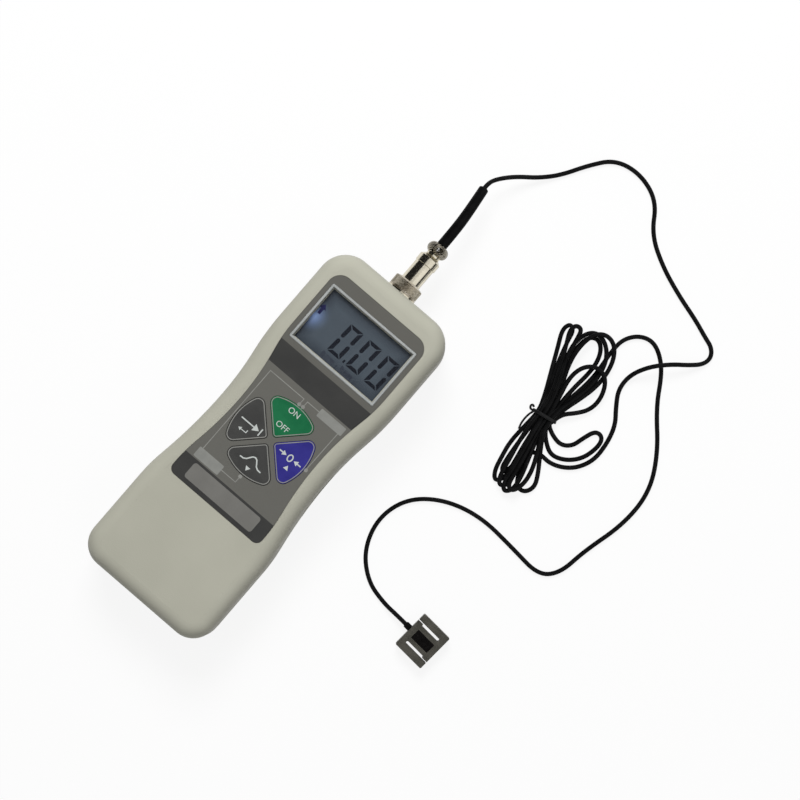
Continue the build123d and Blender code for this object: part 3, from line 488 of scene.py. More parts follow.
tie_plastic = surface("tie_plastic", (0.005, 0.005, 0.0053), (0.010, 0.010, 0.0105), 3, 0.25, 0.015,
                      (0.3, 0.45), gloss=0.2)
tie_pieces = [strip("tie_band", TIE_WRAP, TIE_BAND), strip("tie_curl", TIE_CURL, TIE_END),
              strip("tie_tail", TIE_TAIL, TIE_END)]
dress(tie_plastic, *tie_pieces)
for piece in tie_pieces:
    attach(piece, "sensor_lead")
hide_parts("hank_tie")


# ------------------------------------------------------------------ housing shells
# Two moulded halves in a warm light grey plastic, screwed together from the back. The tool is
# spark-eroded, so the surface has a fine even grain that shines a little where it is worn.
housing = Finish("housing_plastic")
drift = between(housing, noise(housing, 45), *DRIFT_RANGE)
dress(housing.shade(
    Base_Color=tint(housing, drift, (0.418, 0.414, 0.345), (0.452, 0.447, 0.374)),
    Roughness=spread(housing, noise(housing, 14), 0.43, 0.55),
    Normal=relief(housing, noise(housing, 0.42, 2.0, soft=0.5), 0.035),
    Specular_IOR_Level=0.3), "front_shell", "rear_shell")


# ------------------------------------------------------------------ stand inserts
# Four turned brass bushes pressed into the back, tapped for the screws of a test stand.
# Fine turning marks run round them.
dress(surface("insert_brass", (0.60, 0.43, 0.17), (0.72, 0.55, 0.26), 2, 0.12, 0.006, (0.24, 0.4), 1.0,
              (0.4, 0.4, 1)), "stand_inserts")


# ------------------------------------------------------------------ battery tray and cells
# A black moulded tray takes three rechargeable cells side by side under the grip.
# Each cell has a printed shrink wrap, green with a dark band at one end and no lettering.
CELL_BAND_START = -26.0 * MM
CELL_BAND_EDGE = 0.1 * MM
dress(surface("tray_black", (0.020, 0.020, 0.021), (0.034, 0.034, 0.035), 8, 0.3, 0.02, (0.5, 0.65)),
      "battery_tray")

cell_wrap = Finish("cell_wrap")
band = between(cell_wrap, cell_wrap.axis("Y"), CELL_BAND_START, CELL_BAND_START + CELL_BAND_EDGE)
wrinkle = noise(cell_wrap, 1.4, stretch=(1, 0.2, 1))
dress(cell_wrap.shade(Base_Color=tint(cell_wrap, band, (0.035, 0.24, 0.10), (0.02, 0.03, 0.03)),
                      Roughness=spread(cell_wrap, wrinkle, 0.18, 0.34),
                      Normal=relief(cell_wrap, wrinkle, 0.03)), "battery_cells")


# ------------------------------------------------------------------ board
# A green two-layer board with copper tracks under its lacquer. It carries black moulded chips,
# four push switches with square bodies, and the display.
TRACK_PITCH = 1.3 * MM
board = Finish("board_lacquer")
tracks = board.node("ShaderNodeTexVoronoi", "Distance", [("feature", "DISTANCE_TO_EDGE")], Scale=1.0,
                    Vector=board.node("ShaderNodeMapping", Vector=board.place(),
                                      Scale=[1 / TRACK_PITCH] * 3))
copper = between(board, tracks, 0.08, 0.12, 1.0, 0.0)
dress(board.shade(Base_Color=tint(board, copper, (0.012, 0.11, 0.045), (0.04, 0.23, 0.08)),
                  Roughness=spread(board, noise(board, 5), 0.25, 0.38),
                  Normal=relief(board, copper, 0.035)), "main_board")
dress(surface("chip_black", (0.018, 0.018, 0.019), (0.030, 0.030, 0.032), 3, 0.12, 0.01, (0.45, 0.6)),
      "board_chips")
dress(surface("switch_body", (0.030, 0.030, 0.031), (0.050, 0.050, 0.052), 2, 0.15, 0.01, (0.4, 0.55)),
      "key_switches")


# ------------------------------------------------------------------ display
# A liquid crystal glass over a frosted light guide, joined to the board by striped rubber
# contacts. The glass is blue grey, with painted shade that darkens it near its edges and in
# soft clouds, and a painted glow from its lamp at the left.
LCD_MIDDLE = Vector((0.4, 54.35, 0.0)) * MM
LCD_HALF = {"X": 23.0 * MM, "Y": 14.6 * MM}
EDGE_SHADE = 7 * MM
LAMP_SPOT = Vector((-21.4, 53.4, 33.0)) * MM
LAMP_REACH = 8.5 * MM
GLOW_FALL = 2.2
SHADE_OFFSET = -0.12
SHADE_CLOUDS = 0.35
STRIPE_PITCH = 1.6 * MM

dress(surface("light_guide", (0.80, 0.83, 0.86), (0.88, 0.90, 0.92), 12, 0.2, 0.01, (0.35, 0.5)),
      "display_backlight")

rubber = Finish("contact_rubber")
stripes = rubber.node("ShaderNodeTexWave", "Fac", Vector=rubber.place(), Scale=1 / STRIPE_PITCH)
dress(rubber.shade(Base_Color=tint(rubber, stripes, (0.02, 0.02, 0.02), (0.42, 0.17, 0.15)),
                   Roughness=spread(rubber, noise(rubber, 0.8), 0.55, 0.7)), "display_strips")

glass = Finish("display_glass")
from_middle = glass.math("SUBTRACT", glass.place(), LCD_MIDDLE, kind="ShaderNodeVectorMath")
# Painted shade: the glass's colour darkens towards its edges and in soft clouds, in place of the backlight's
# fall-off.
edges = []
for letter, reach in LCD_HALF.items():
    away = glass.math("ABSOLUTE", glass.node("ShaderNodeSeparateXYZ", letter, Vector=from_middle))
    edges.append(between(glass, away, reach - EDGE_SHADE, reach))
shade = glass.math("ADD", glass.math("MAXIMUM", *edges), SHADE_OFFSET)
shade = glass.math("MULTIPLY_ADD", noise(glass, 9, 2.0), SHADE_CLOUDS, shade)
backlight_painted_shade = tint(glass, shade, (0.076, 0.096, 0.118), (0.031, 0.039, 0.053))
# Painted glow: near the lamp at the left the colour turns pale blue, in place of the lamp's light.
from_lamp = glass.math("DISTANCE", glass.place(), LAMP_SPOT, kind="ShaderNodeVectorMath", output="Value")
painted_lamp_glow = glass.math("POWER", between(glass, from_lamp, 0.0, LAMP_REACH, 1.0, 0.0), GLOW_FALL)
dress(glass.shade(Base_Color=tint(glass, painted_lamp_glow, backlight_painted_shade, (0.30, 0.44, 0.80)),
                  Roughness=spread(glass, noise(glass, 3), 0.16, 0.26),
                  Normal=relief(glass, noise(glass, 0.3), 0.002), Specular_IOR_Level=0.15), "display_panel")


# ------------------------------------------------------------------ display reading
# Three slanted seven-segment figures show 0.00, beside a small arrow that points along the pull.
# The segments are the dark crystal itself. Below the first two figures lie patches of painted shadow.
FIGURE_WIDTH = 6.9
FIGURE_HEIGHT = 14.85
FIGURE_BOTTOM = 45.9
FIGURE_LEFTS = (-7.35, 2.75, 12.8)
FIGURE_LEAN = 0.068
SEGMENT_WIDTH = 1.75
SEGMENT_GAP = 0.22
SEGMENT_TAPER = 0.85
WAIST_GAP = 0.5
# The rounded end of an upright segment: across, as a share of its width, and back from the waist.
WAIST_END = [(1.0, 0.7), (0.75, 0.15), (0.4, 0.0), (0.1, 0.35), (0.0, 0.8)]
SEGMENT_ROOT = 0.05
SEGMENT_THICKNESS = 0.09
POINT_PLACE = (0.95, 46.0)
POINT_SIZE = (0.85, 1.5)
POINT_LEAN = 0.1
ARROW_MIDDLE = (-19.8, 57.5)
ARROW_HALF = [(0.0, 2.5), (-1.65, 0.3), (-0.68, 0.3), (-0.68, -2.4)]
# The bottom and top of the painted shadow patches, and each patch's corners: across from its figure's left,
# and up from the bottom for two of them or from the top for the others.
SHADOW_ROWS = (41.0, 45.0)
SHADOW_PATCHES = [
    ((-0.9, 0.0), (0.9, 0.0), (1.1, -0.5), (-0.6, 0.0)), ((1.2, 0.0), (5.6, 0.0), (6.0, -0.9), (1.5, -0.4)),
    ((7.2, 0.0), (7.7, 0.0), (7.9, -1.4), (7.4, -1.4)),
]


def flat_outline(name, outlines, bottom, thickness):
    """Thin plates with the given outlines, in millimetres, as one closed mesh."""
    vertices, faces = [], []
    for outline in outlines:
        count, start = len(outline), len(vertices)
        vertices += [Vector((x, y, z)) * MM for z in (bottom, bottom + thickness) for x, y in outline]
        faces += [tuple(range(start, start + count))[::-1], tuple(range(start + count, start + 2 * count))]
        faces += ring_faces(2, count, start=start)
    return new_piece(name, mesh_of(name, vertices, faces))


def zero_segments(left, bottom):
    """The six segments of a nought, mitred at the corners and rounded at the waist, leaning right."""
    w, g = SEGMENT_WIDTH, SEGMENT_GAP
    right, top = left + FIGURE_WIDTH, bottom + FIGURE_HEIGHT
    middle = bottom + FIGURE_HEIGHT / 2
    shapes = []
    for edge, inward in ((top, -1), (bottom, 1)):
        inner = edge + inward * w * SEGMENT_TAPER
        shapes.append([(left + g, edge), (right - g, edge), (right - g - w, inner), (left + g + w, inner)])
        waist = middle - inward * WAIST_GAP
        for outer, way in ((left, 1), (right, -1)):
            shapes.append([(outer, edge + inward * g), (outer + way * w, edge + inward * (g + w))] + [
                (outer + way * w * across, waist - inward * back) for across, back in WAIST_END])
    return [[(x + (y - bottom) * FIGURE_LEAN, y) for x, y in shape] for shape in shapes]


glass_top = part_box("display_panel")[1].z / MM


def crystal(name, outlines, tone, first, second, patch):
    """A dark piece just above the glass, with its own finish: crystal in the reading and arrow, painted
    shadow in the patches.
    """
    piece = flat_outline("display_" + name, outlines, glass_top - SEGMENT_ROOT, SEGMENT_THICKNESS)
    dress(surface(tone, first, second, patch, 0.3, 0.002, (0.2, 0.3), gloss=0.12), piece)
    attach(piece, "housing")


figures = [segment for left in FIGURE_LEFTS for segment in zero_segments(left, FIGURE_BOTTOM)]
px, py = POINT_PLACE
wide, high = POINT_SIZE
figures.append([(px, py), (px + wide, py), (px + wide + POINT_LEAN, py + high), (px + POINT_LEAN, py + high)])
crystal("reading", figures, "reading_dark", (0.003, 0.004, 0.009), (0.005, 0.007, 0.014), 2)

ax, ay = ARROW_MIDDLE
arrow_outline = [(ax + x, ay + y) for x, y in ARROW_HALF] + [(ax - x, ay + y) for x, y in ARROW_HALF[:0:-1]]
crystal("arrow", [arrow_outline], "arrow_blue", (0.010, 0.010, 0.062), (0.014, 0.015, 0.088), 2)

# Painted shadow: under each of the first two figures a darker patch stands in for the shadow of its segments.
heights = [SHADOW_ROWS[0]] * 2 + [SHADOW_ROWS[1]] * 2
painted_shadows = [[(left + x, height + sink) for (x, sink), height in zip(patch, heights)]
         for left in FIGURE_LEFTS[:2] for patch in SHADOW_PATCHES]
crystal("painted_shadow", painted_shadows, "unlit_dark", (0.030, 0.036, 0.052), (0.050, 0.060, 0.080), 2.5)


# ------------------------------------------------------------------ display window and frame
# A clear polished window sits in the front shell, inside a satin light grey frame with
# chamfered edges. Fine hairline scratches cross the window.
window = Finish("window_clear")
scratches = noise(window, 1.2, 4.0, (1, 0.05, 1), 0.5)
dress(window.shade(Base_Color=tint(window, scratches, (0.05, 0.055, 0.06), (0.20, 0.21, 0.23)),
                   Roughness=spread(window, scratches, 0.03, 0.08), Alpha=0.05), "display_window")
window.material.surface_render_method = "BLENDED"
dress(surface("bezel_light", (0.35, 0.365, 0.36), (0.41, 0.425, 0.42), 10, 0.2, 0.01, (0.3, 0.42), gloss=0.3),
      "display_bezel")


# ------------------------------------------------------------------ membrane
# A polyester film, printed from below in four bands of warm grey and lightly textured on top.
# It is glued into a shallow recess of the front shell.
BAND_EDGE = 0.12 * MM
FILM_LIGHT = (0.118, 0.116, 0.104)
FILM_KEYS = (0.132, 0.130, 0.117)
FILM_DARK = (0.042, 0.042, 0.041)
FILM_HAZE = (0.17, 0.165, 0.15)
# Where each band above the lowest, dark one begins, and its colour.
FILM_BANDS = [(-24.25, FILM_KEYS), (26.85, FILM_DARK), (37.3, FILM_LIGHT)]

film = Finish("membrane_film")
printed = FILM_DARK
for start, colour in FILM_BANDS:
    step = between(film, film.axis("Y"), start * MM - BAND_EDGE / 2, start * MM + BAND_EDGE / 2)
    printed = tint(film, step, printed, colour)
haze = between(film, noise(film, 18), 0.4, 0.75, 0.0, 0.08)
dress(film.shade(Base_Color=tint(film, haze, printed, FILM_HAZE),
                 Roughness=spread(film, noise(film, 6), 0.36, 0.48),
                 Normal=relief(film, noise(film, 0.3, 2.0), 0.02), Specular_IOR_Level=0.25), "keypad_overlay")


# ------------------------------------------------------------------ membrane print
# Thin light lines lead from the keys to two small bare label fields, and a bare rounded plate
# fills the dark band at the bottom. They are printed, so they stand up by a hair only.
PRINT_BOTTOM = 35.88
PRINT_THICKNESS = 0.045
PRINT_STEP = 0.01
LINE_WIDTH = 0.34
DOT_RADIUS = 0.85
FIELD_ROUNDING = 0.5
PLATE_ROUNDING = 1.3
GUIDE_LINES = [
    [(-0.8, 20.95), (-0.7, 23.95), (-19.1, 23.9), (-19.2, -18.95)],
    [(1.1, 21.05), (1.2, 23.95), (7.6, 23.95)],
    [(19.4, 22.05), (19.1, 1.95)],
    [(-7.5, -20.85), (0.15, -20.85), (0.2, -17.75)],
]
GUIDE_DOTS = [(-0.8, 20.95), (1.1, 21.05), (19.25, 1.95), (0.2, -17.75)]
LABEL_FIELDS = [(7.6, 21.95, 20.9, 25.9), (-20.6, -23.7, -7.5, -18.95)]
BARE_PLATE = (-17.9, -32.9, 18.5, -25.35)


def line_shape(path, width):
    """One outline, anticlockwise, of a line of even width along an open path, mitred at its corners."""
    points = [Vector(point) for point in path]
    runs = [(after - before).normalized() for before, after in zip(points, points[1:])]
    left, right = [], []
    for here, before, after in zip(points, runs[:1] + runs, runs + runs[-1:]):
        way = (before + after).normalized()
        out = Vector((-way.y, way.x)) * (width / 2 / way.dot(before))
        left.append(tuple(here + out))
        right.append(tuple(here - out))
    return right + left[::-1]


def arc(x, y, rx, ry, start, count):
    """Points every 15 degrees round an oval, from an angle in degrees."""
    angles = [math.radians(start + 15 * i) for i in range(count)]
    return [(x + rx * math.cos(angle), y + ry * math.sin(angle)) for angle in angles]


def rounded_field(x0, y0, x1, y1, radius):
    """The outline of a rectangle with rounded corners."""
    left, low, right, high = x0 + radius, y0 + radius, x1 - radius, y1 - radius
    return [point for x, y, start in ((right, low, -90), (right, high, 0), (left, high, 90), (left, low, 180))
            for point in arc(x, y, radius, radius, start, 7)]


def print_piece(name, outlines, layer):
    """A print on the film. layer counts the steps by which it lies over the lowest print."""
    piece = flat_outline(name, outlines, PRINT_BOTTOM + layer * PRINT_STEP, PRINT_THICKNESS)
    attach(piece, "housing")
    return piece


guide_lines = print_piece("guide_lines", [line_shape(path, LINE_WIDTH) for path in GUIDE_LINES], 0)
dots = print_piece("guide_dots", [arc(x, y, DOT_RADIUS, DOT_RADIUS, 0, 24) for x, y in GUIDE_DOTS], 1)
fields = print_piece("label_fields", [rounded_field(*field, FIELD_ROUNDING) for field in LABEL_FIELDS], 2)
bare_plate = print_piece("bare_plate", [rounded_field(*BARE_PLATE, PLATE_ROUNDING)], 0)
print_grey = surface("print_grey", (0.24, 0.24, 0.225), (0.29, 0.29, 0.27), 5, 0.2, 0.005, (0.38, 0.5),
                     gloss=0.25)
dress(print_grey, guide_lines, dots)
dress(surface("field_grey", (0.235, 0.238, 0.222), (0.260, 0.263, 0.246), 4, 0.2, 0.005, (0.38, 0.5),
              gloss=0.25), fields)
dress(surface("plate_grey", (0.168, 0.165, 0.153), (0.183, 0.180, 0.167), 9, 0.2, 0.005, (0.34, 0.46),
              gloss=0.25), bare_plate)


# ------------------------------------------------------------------ keys
# Four petal keys in a ring: green above, dark grey left and below, blue right. Each has a
# printed film top with a faint grain and a fine pale outline.
KEY_OUTLINE_WIDTH = 0.36
KEY_OUTLINE_INSET = 0.3
KEY_OUTLINE_ROOT = 0.03
KEY_OUTLINE_THICKNESS = 0.06
KEY_SHOULDER = 35.0
KEY_COLOURS = {
    "on_off_key": ("key_green", (0.010, 0.128, 0.050), (0.015, 0.155, 0.062)),
    "send_key": ("key_grey_left", (0.050, 0.050, 0.049), (0.062, 0.062, 0.060)),
    "peak_key": ("key_grey_low", (0.048, 0.048, 0.047), (0.060, 0.060, 0.058)),
    "zero_key": ("key_blue", (0.029, 0.026, 0.200), (0.038, 0.034, 0.240)),
}


def top_hull(node, above):
    """The outline, seen from above, of a convex node's part that is higher than a height."""
    points = sorted({(round(v.co.x / MM, 3), round(v.co.y / MM, 3)) for v in nodes[node].data.vertices
                     if v.co.z / MM > above})
    hull = []
    for row in (points, points[::-1]):
        start = len(hull)
        for p in row:
            while len(hull) - start >= 2:
                a, b = hull[-2], hull[-1]
                if (b[0] - a[0]) * (p[1] - a[1]) - (b[1] - a[1]) * (p[0] - a[0]) > 0:
                    break
                hull.pop()
            hull.append(p)
        hull.pop()
    return hull


def moved_in(outline, distance):
    """An outline moved inwards by a distance."""
    points = [Vector(point) for point in outline]
    row = []
    for before, here, after in zip(points[-1:] + points, points, points[1:] + points[:1]):
        way = ((here - before).normalized() + (after - here).normalized()).normalized()
        row.append(here + Vector((-way.y, way.x)) * distance)
    return row


def band_piece(name, outer, inner, bottom, thickness):
    """A flat closed band between two outlines."""
    rows = ((outer, bottom), (inner, bottom), (inner, bottom + thickness), (outer, bottom + thickness))
    vertices = [Vector((p.x, p.y, height)) * MM for row, height in rows for p in row]
    return new_piece(name, mesh_of(name, vertices, ring_faces(4, len(outer), closed=True)))


key_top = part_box("on_off_key")[1].z / MM
for name, (finish, first, second) in KEY_COLOURS.items():
    dress(surface(finish, first, second, 7, 0.3, 0.015, (0.34, 0.48), gloss=0.2), name)
    outline = top_hull(name, KEY_SHOULDER)
    edge = band_piece(name + "_edge", moved_in(outline, KEY_OUTLINE_INSET),
                      moved_in(outline, KEY_OUTLINE_INSET + KEY_OUTLINE_WIDTH),
                      key_top - KEY_OUTLINE_ROOT, KEY_OUTLINE_THICKNESS)
    dress(print_grey, edge)
    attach(edge, name)


# ------------------------------------------------------------------ key legends
# ON and OFF are printed on the green key. The other keys carry plain signs: an arrow to a line
# for sending, a nought between two arrows for zeroing and a curve with a peak.
LEGEND_THICKNESS = 0.05
LEGEND_ROOT = 0.02
LEGEND_LINE = 0.56
SMALL_SIGN_LINE = 0.36
SIGN_HEAD = 1.9
CAP_HEIGHT = 2.5
LETTER_CAP_SHARE = 0.69
HEAD_SLOPE = 0.62
PEAK_CURVE = [(-5.6, -11.2), (-3.9, -11.1), (-2.7, -10.4), (-1.8, -9.1), (-1.0, -8.1), (0.0, -7.7),
              (1.0, -8.1), (1.8, -9.1), (2.7, -10.4), (3.9, -11.1), (5.6, -11.2)]


def evaluated_mesh(thing):
    """The plain mesh of an object with its modifiers or text worked out."""
    bpy.context.view_layer.update()
    return bpy.data.meshes.new_from_object(thing.evaluated_get(bpy.context.evaluated_depsgraph_get()))


def word(name, text, x, y):
    """A word as a thin raised print, centred at x, y."""
    data = bpy.data.curves.new(name, "FONT")
    data.body = text
    data.size = CAP_HEIGHT * MM / LETTER_CAP_SHARE
    data.align_x = "CENTER"
    data.align_y = "CENTER"
    data.extrude = LEGEND_THICKNESS * MM / 2
    thing = put(name, data)
    mesh = evaluated_mesh(thing)
    bpy.data.objects.remove(thing)
    mesh.transform(Matrix.Translation(Vector((x, y, key_top)) * MM))
    return new_piece(name, mesh)


def arrow(tip_x, tip_y, length, way, line=LEGEND_LINE, head=SIGN_HEAD):
    """The outline of a level arrow that points right with way 1, or left with way -1."""
    tail_x, neck_x = tip_x - way * length, tip_x - way * head
    points = [(tail_x, tip_y - line / 2), (neck_x, tip_y - line / 2), (neck_x, tip_y - head * HEAD_SLOPE),
              (tip_x, tip_y), (neck_x, tip_y + head * HEAD_SLOPE), (neck_x, tip_y + line / 2),
              (tail_x, tip_y + line / 2)]
    return points if way > 0 else points[::-1]


def triangle(x, y, size, way):
    """A small filled triangle that points up with way 1, or down with way -1."""
    base = y - way * size * 0.45
    points = [(x - size * HEAD_SLOPE, base), (x + size * HEAD_SLOPE, base), (x, y + way * size * 0.55)]
    return points if way > 0 else points[::-1]


def nought(x, y, width, height, line):
    """The outlines of an oval nought, as a left and a right half."""
    rx, ry = width / 2, height / 2
    return [arc(x, y, rx, ry, start, 13) + arc(x, y, rx - line, ry - line, start, 13)[::-1]
            for start in (-90, 90)]


key_signs = {
    "send_key": [arrow(-6.2, 1.5, 9.4, 1, head=2.7), line_shape([(-5.4, 3.2), (-5.4, -0.2)], LEGEND_LINE),
                 arrow(-14.0, -2.5, 3.9, -1, SMALL_SIGN_LINE, 1.4),
                 line_shape([(-9.9, -2.68), (-9.9, -1.2)], SMALL_SIGN_LINE)],
    "zero_key": [*nought(11.0, 1.5, 2.7, 3.5, LEGEND_LINE), arrow(9.0, 1.5, 3.7, 1),
                 arrow(13.0, 1.5, 3.7, -1), triangle(12.4, -2.5, SIGN_HEAD, 1)],
    "peak_key": [line_shape(PEAK_CURVE, LEGEND_LINE), triangle(0.2, -13.5, SIGN_HEAD, -1)],
}
legend_white = surface("legend_white", (0.50, 0.53, 0.51), (0.58, 0.61, 0.59), 3, 0.2, 0.004, (0.38, 0.5),
                       gloss=0.25)
legends = [(word("on_legend", "ON", 0.0, 16.8), "on_off_key"),
           (word("off_legend", "OFF", 0.0, 9.25), "on_off_key")]
for key, signs in key_signs.items():
    legends.append((flat_outline(key[:-3] + "signs", signs, key_top - LEGEND_ROOT, LEGEND_THICKNESS), key))
for piece, body in legends:
    dress(legend_white, piece)
    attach(piece, body)


# ------------------------------------------------------------------ ports
# A black moulded data port with gilt pins and a nickelled charging jack sit in openings
# of the right wall, on the parting line.
contact_gold = surface("contact_gold", (0.72, 0.50, 0.20), (0.86, 0.66, 0.30), 1, 0.1, 0.003, (0.16, 0.3),
                       1.0)
dress(surface("port_black", (0.016, 0.016, 0.017), (0.028, 0.028, 0.029), 3, 0.2, 0.012, (0.42, 0.58)),
      "data_port")
dress(contact_gold, "port_pins")


# ------------------------------------------------------------------ connector
# A screw-locked round connector in nickel-plated brass. Its parts were turned, so fine lines
# run round them. The panel half is held by a washer and a hexagon nut inside the wall.
BRIGHT_NICKEL = ((0.66, 0.61, 0.49), (0.76, 0.71, 0.58))
satin_zinc = surface("satin_zinc", (0.62, 0.62, 0.61), (0.74, 0.74, 0.73), 3, 0.12, 0.005, (0.26, 0.4), 1.0)
dress(surface("nickel", *BRIGHT_NICKEL, 5, 0.09, 0.0025, (0.12, 0.22), 1.0, (0.12, 1, 0.12)),
      "charging_jack", "socket_shell", "socket_nut", "plug_barrel")
dress(satin_zinc, "socket_washer", "ring_clip")
dress(surface("insulator", (0.022, 0.022, 0.023), (0.036, 0.036, 0.037), 2, 0.2, 0.01, (0.42, 0.55)),
      "socket_insert", "plug_insert")
dress(contact_gold, "socket_contacts", "plug_contacts")


# ------------------------------------------------------------------ coupling ring
# The knurled nut that locks the plug. The knurl is a ring of staggered four-sided teeth
# rolled into the plain barrel between two bevelled rims.
AXIS_HEIGHT = 18.0
RING_START = 85.6
RING_END = 91.2
RING_RADIUS = 6.95
RING_BORE = 5.96
RING_MOUTH = 5.35
RING_LIP = 4.75
LIP_START = 89.98
LIP_END = 90.57
TOOTH_HEIGHT = 0.34
TOOTH_SINK = 1.12
TOOTH_TIP = 0.05
TOOTH_COUNT = 42
TOOTH_ROWS = 8
KNURL_MARGIN = 1.15
RING_SIDES = 96


class GeometryTree(NodeTree):
    """A geometry node tree with named inputs for its sizes, and one for its material."""

    def __init__(self, name, **inputs):
        super().__init__(bpy.data.node_groups.new(name, "GeometryNodeTree"))
        for kind, labels in {"Geometry": ["Geometry"], **inputs, "Material": ["Material"]}.items():
            for label in labels:
                self.tree.interface.new_socket(name=label, in_out="INPUT", socket_type="NodeSocket" + kind)
        self.tree.interface.new_socket(name="Geometry", in_out="OUTPUT", socket_type="NodeSocketGeometry")
        self.input = self.new("NodeGroupInput").outputs

    def times(self, value, *others):
        for other in others:
            value = self.math("MULTIPLY", value, other)
        return value

    def vector(self, x, y, z):
        return self.node("ShaderNodeCombineXYZ", X=x, Y=y, Z=z)

    def join(self, *parts):
        made = self.new("GeometryNodeJoinGeometry")
        for part in parts:
            self.tree.links.new(part, made.inputs[0])
        return made.outputs[0]

    def close(self, geometry):
        """Ends the tree in realized instances with their material."""
        real = self.node("GeometryNodeRealizeInstances", Geometry=geometry)
        painted = self.node("GeometryNodeSetMaterial", Geometry=real, Material=self.input["Material"])
        self.tree.links.new(painted, self.new("NodeGroupOutput").inputs[0])
        return self.tree


def bake(piece, tree, values):
    """Runs a node tree on a piece and keeps the result as its plain mesh."""
    modifier = piece.modifiers.new(tree.name, "NODES")
    modifier.node_group = tree
    for item in tree.interface.items_tree:
        if item.in_out == "INPUT" and item.name in values:
            modifier[item.identifier] = values[item.name]
    result = evaluated_mesh(piece)
    piece.modifiers.clear()
    piece.data = result
    return piece


def turned_mesh(name, profile, sides):
    """A closed body of revolution about the connector's axis, from (radius, distance) points in mm."""
    vertices = []
    for radius, distance in profile:
        vertices += [Vector((side, distance, AXIS_HEIGHT + up)) * MM for up, side in ring_of(radius, sides)]
    return new_piece(name, mesh_of(name, vertices, ring_faces(len(profile), sides, closed=True)))


knurl = GeometryTree("knurl", Float=["Radius", "Height", "Start", "Axis"], Int=["Count", "Rows"])
size = knurl.input
index = knurl.node("GeometryNodeInputIndex")
row = knurl.math("FLOOR", knurl.math("DIVIDE", index, size["Count"]))
column = knurl.math("MODULO", index, size["Count"])
stagger = knurl.times(knurl.math("MODULO", row, 2.0), 0.5)
turn = knurl.math("DIVIDE", knurl.times(knurl.math("ADD", column, stagger), 2 * math.pi), size["Count"])
half_pitch = knurl.math("DIVIDE", knurl.times(size["Radius"], math.pi), size["Count"])
tooth_base = knurl.math("SUBTRACT", size["Radius"], knurl.times(size["Height"], TOOTH_SINK))
sideways = knurl.times(tooth_base, knurl.math("SINE", turn))
upwards = knurl.times(tooth_base, knurl.math("COSINE", turn))
tooth_places = knurl.node(
    "GeometryNodePoints", Count=knurl.times(size["Count"], size["Rows"]),
    Position=knurl.vector(sideways, knurl.math("ADD", size["Start"], knurl.times(row, half_pitch)),
                          knurl.math("ADD", size["Axis"], upwards)))
tooth = knurl.node("GeometryNodeMeshCone", Vertices=4, Radius_Top=TOOTH_TIP * MM, Radius_Bottom=half_pitch,
                   Depth=size["Height"])
teeth = knurl.node("GeometryNodeInstanceOnPoints", Points=tooth_places, Instance=tooth,
                   Rotation=knurl.vector(0.0, turn, 0.0))
knurl_tree = knurl.close(knurl.join(size["Geometry"], teeth))

# The ring's section runs from the bore's front edge over both rims and back in past the lip.
plain = RING_RADIUS - TOOTH_HEIGHT
ring = turned_mesh("coupling_ring_knurled", [
    (RING_BORE, RING_START), (RING_RADIUS - 0.25, RING_START), (RING_RADIUS - 0.02, RING_START + 0.22),
    (RING_RADIUS - 0.02, RING_START + 0.55), (plain, RING_START + 0.75), (plain, RING_END - 1.35),
    (RING_RADIUS - 0.45, RING_END - 0.95), (RING_RADIUS - 0.75, RING_END - 0.5),
    (RING_RADIUS - 1.2, RING_END - 0.12), (RING_RADIUS - 1.6, RING_END), (RING_MOUTH, RING_END),
    (RING_MOUTH, LIP_END), (RING_LIP, LIP_END), (RING_LIP, LIP_START), (RING_BORE, LIP_START),
], RING_SIDES)
bake(ring, knurl_tree, {
    "Radius": RING_RADIUS * MM, "Height": TOOTH_HEIGHT * MM, "Start": (RING_START + KNURL_MARGIN) * MM,
    "Axis": AXIS_HEIGHT * MM, "Count": TOOTH_COUNT, "Rows": TOOTH_ROWS,
    "Material": surface("knurled_nickel", (0.52, 0.47, 0.39), (0.64, 0.59, 0.50), 2, 0.1, 0.004, (0.2, 0.34),
                        1.0),
})
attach(ring, "screw_ring")
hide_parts("coupling_ring")


# ------------------------------------------------------------------ cable clamp
# Two die-cast halves grip the sleeve: one is part of the plug's tail, the other is drawn on by
# two screws. Both are cast with coarse slanting ribs outside, and plated like the barrel. The
# ribbed part is painted darker than the plating, as painted shade.
RIB_PITCH = 0.95 * MM
RIB_SCALE = 0.32
RIB_SLANT = math.radians(48)
RIBS_START = 106.7 * MM
RIBS_RUN_IN = 0.4 * MM
clamp = Finish("clamp_nickel")
# Where the ribs begin: their relief and the painted shade of the ribbed part both start here.
ribs_and_shade_mask = between(clamp, clamp.axis("Y"), RIBS_START, RIBS_START + RIBS_RUN_IN)
plain_metal = tint(clamp, noise(clamp, 5), *BRIGHT_NICKEL)
# Painted shade: a much darker colour for the ribbed part of the same plating.
ribbed_painted_shade = tint(clamp, noise(clamp, 2), (0.22, 0.20, 0.16), (0.36, 0.33, 0.27))
slanted = clamp.node("ShaderNodeMapping", Vector=clamp.place(), Rotation=(0, 0, RIB_SLANT),
                     Scale=[1 / RIB_PITCH] * 3)
ribs = clamp.node("ShaderNodeTexWave", "Fac", Vector=slanted, Scale=RIB_SCALE)
dress(clamp.shade(Base_Color=tint(clamp, ribs_and_shade_mask, plain_metal, ribbed_painted_shade),
                  Roughness=spread(clamp, noise(clamp, 0.3), 0.14, 0.26),
                  Normal=relief(clamp, clamp.math("MULTIPLY", ribs, ribs_and_shade_mask), 0.26), Metallic=1.0),
      "cable_clamp", "plug_tail")


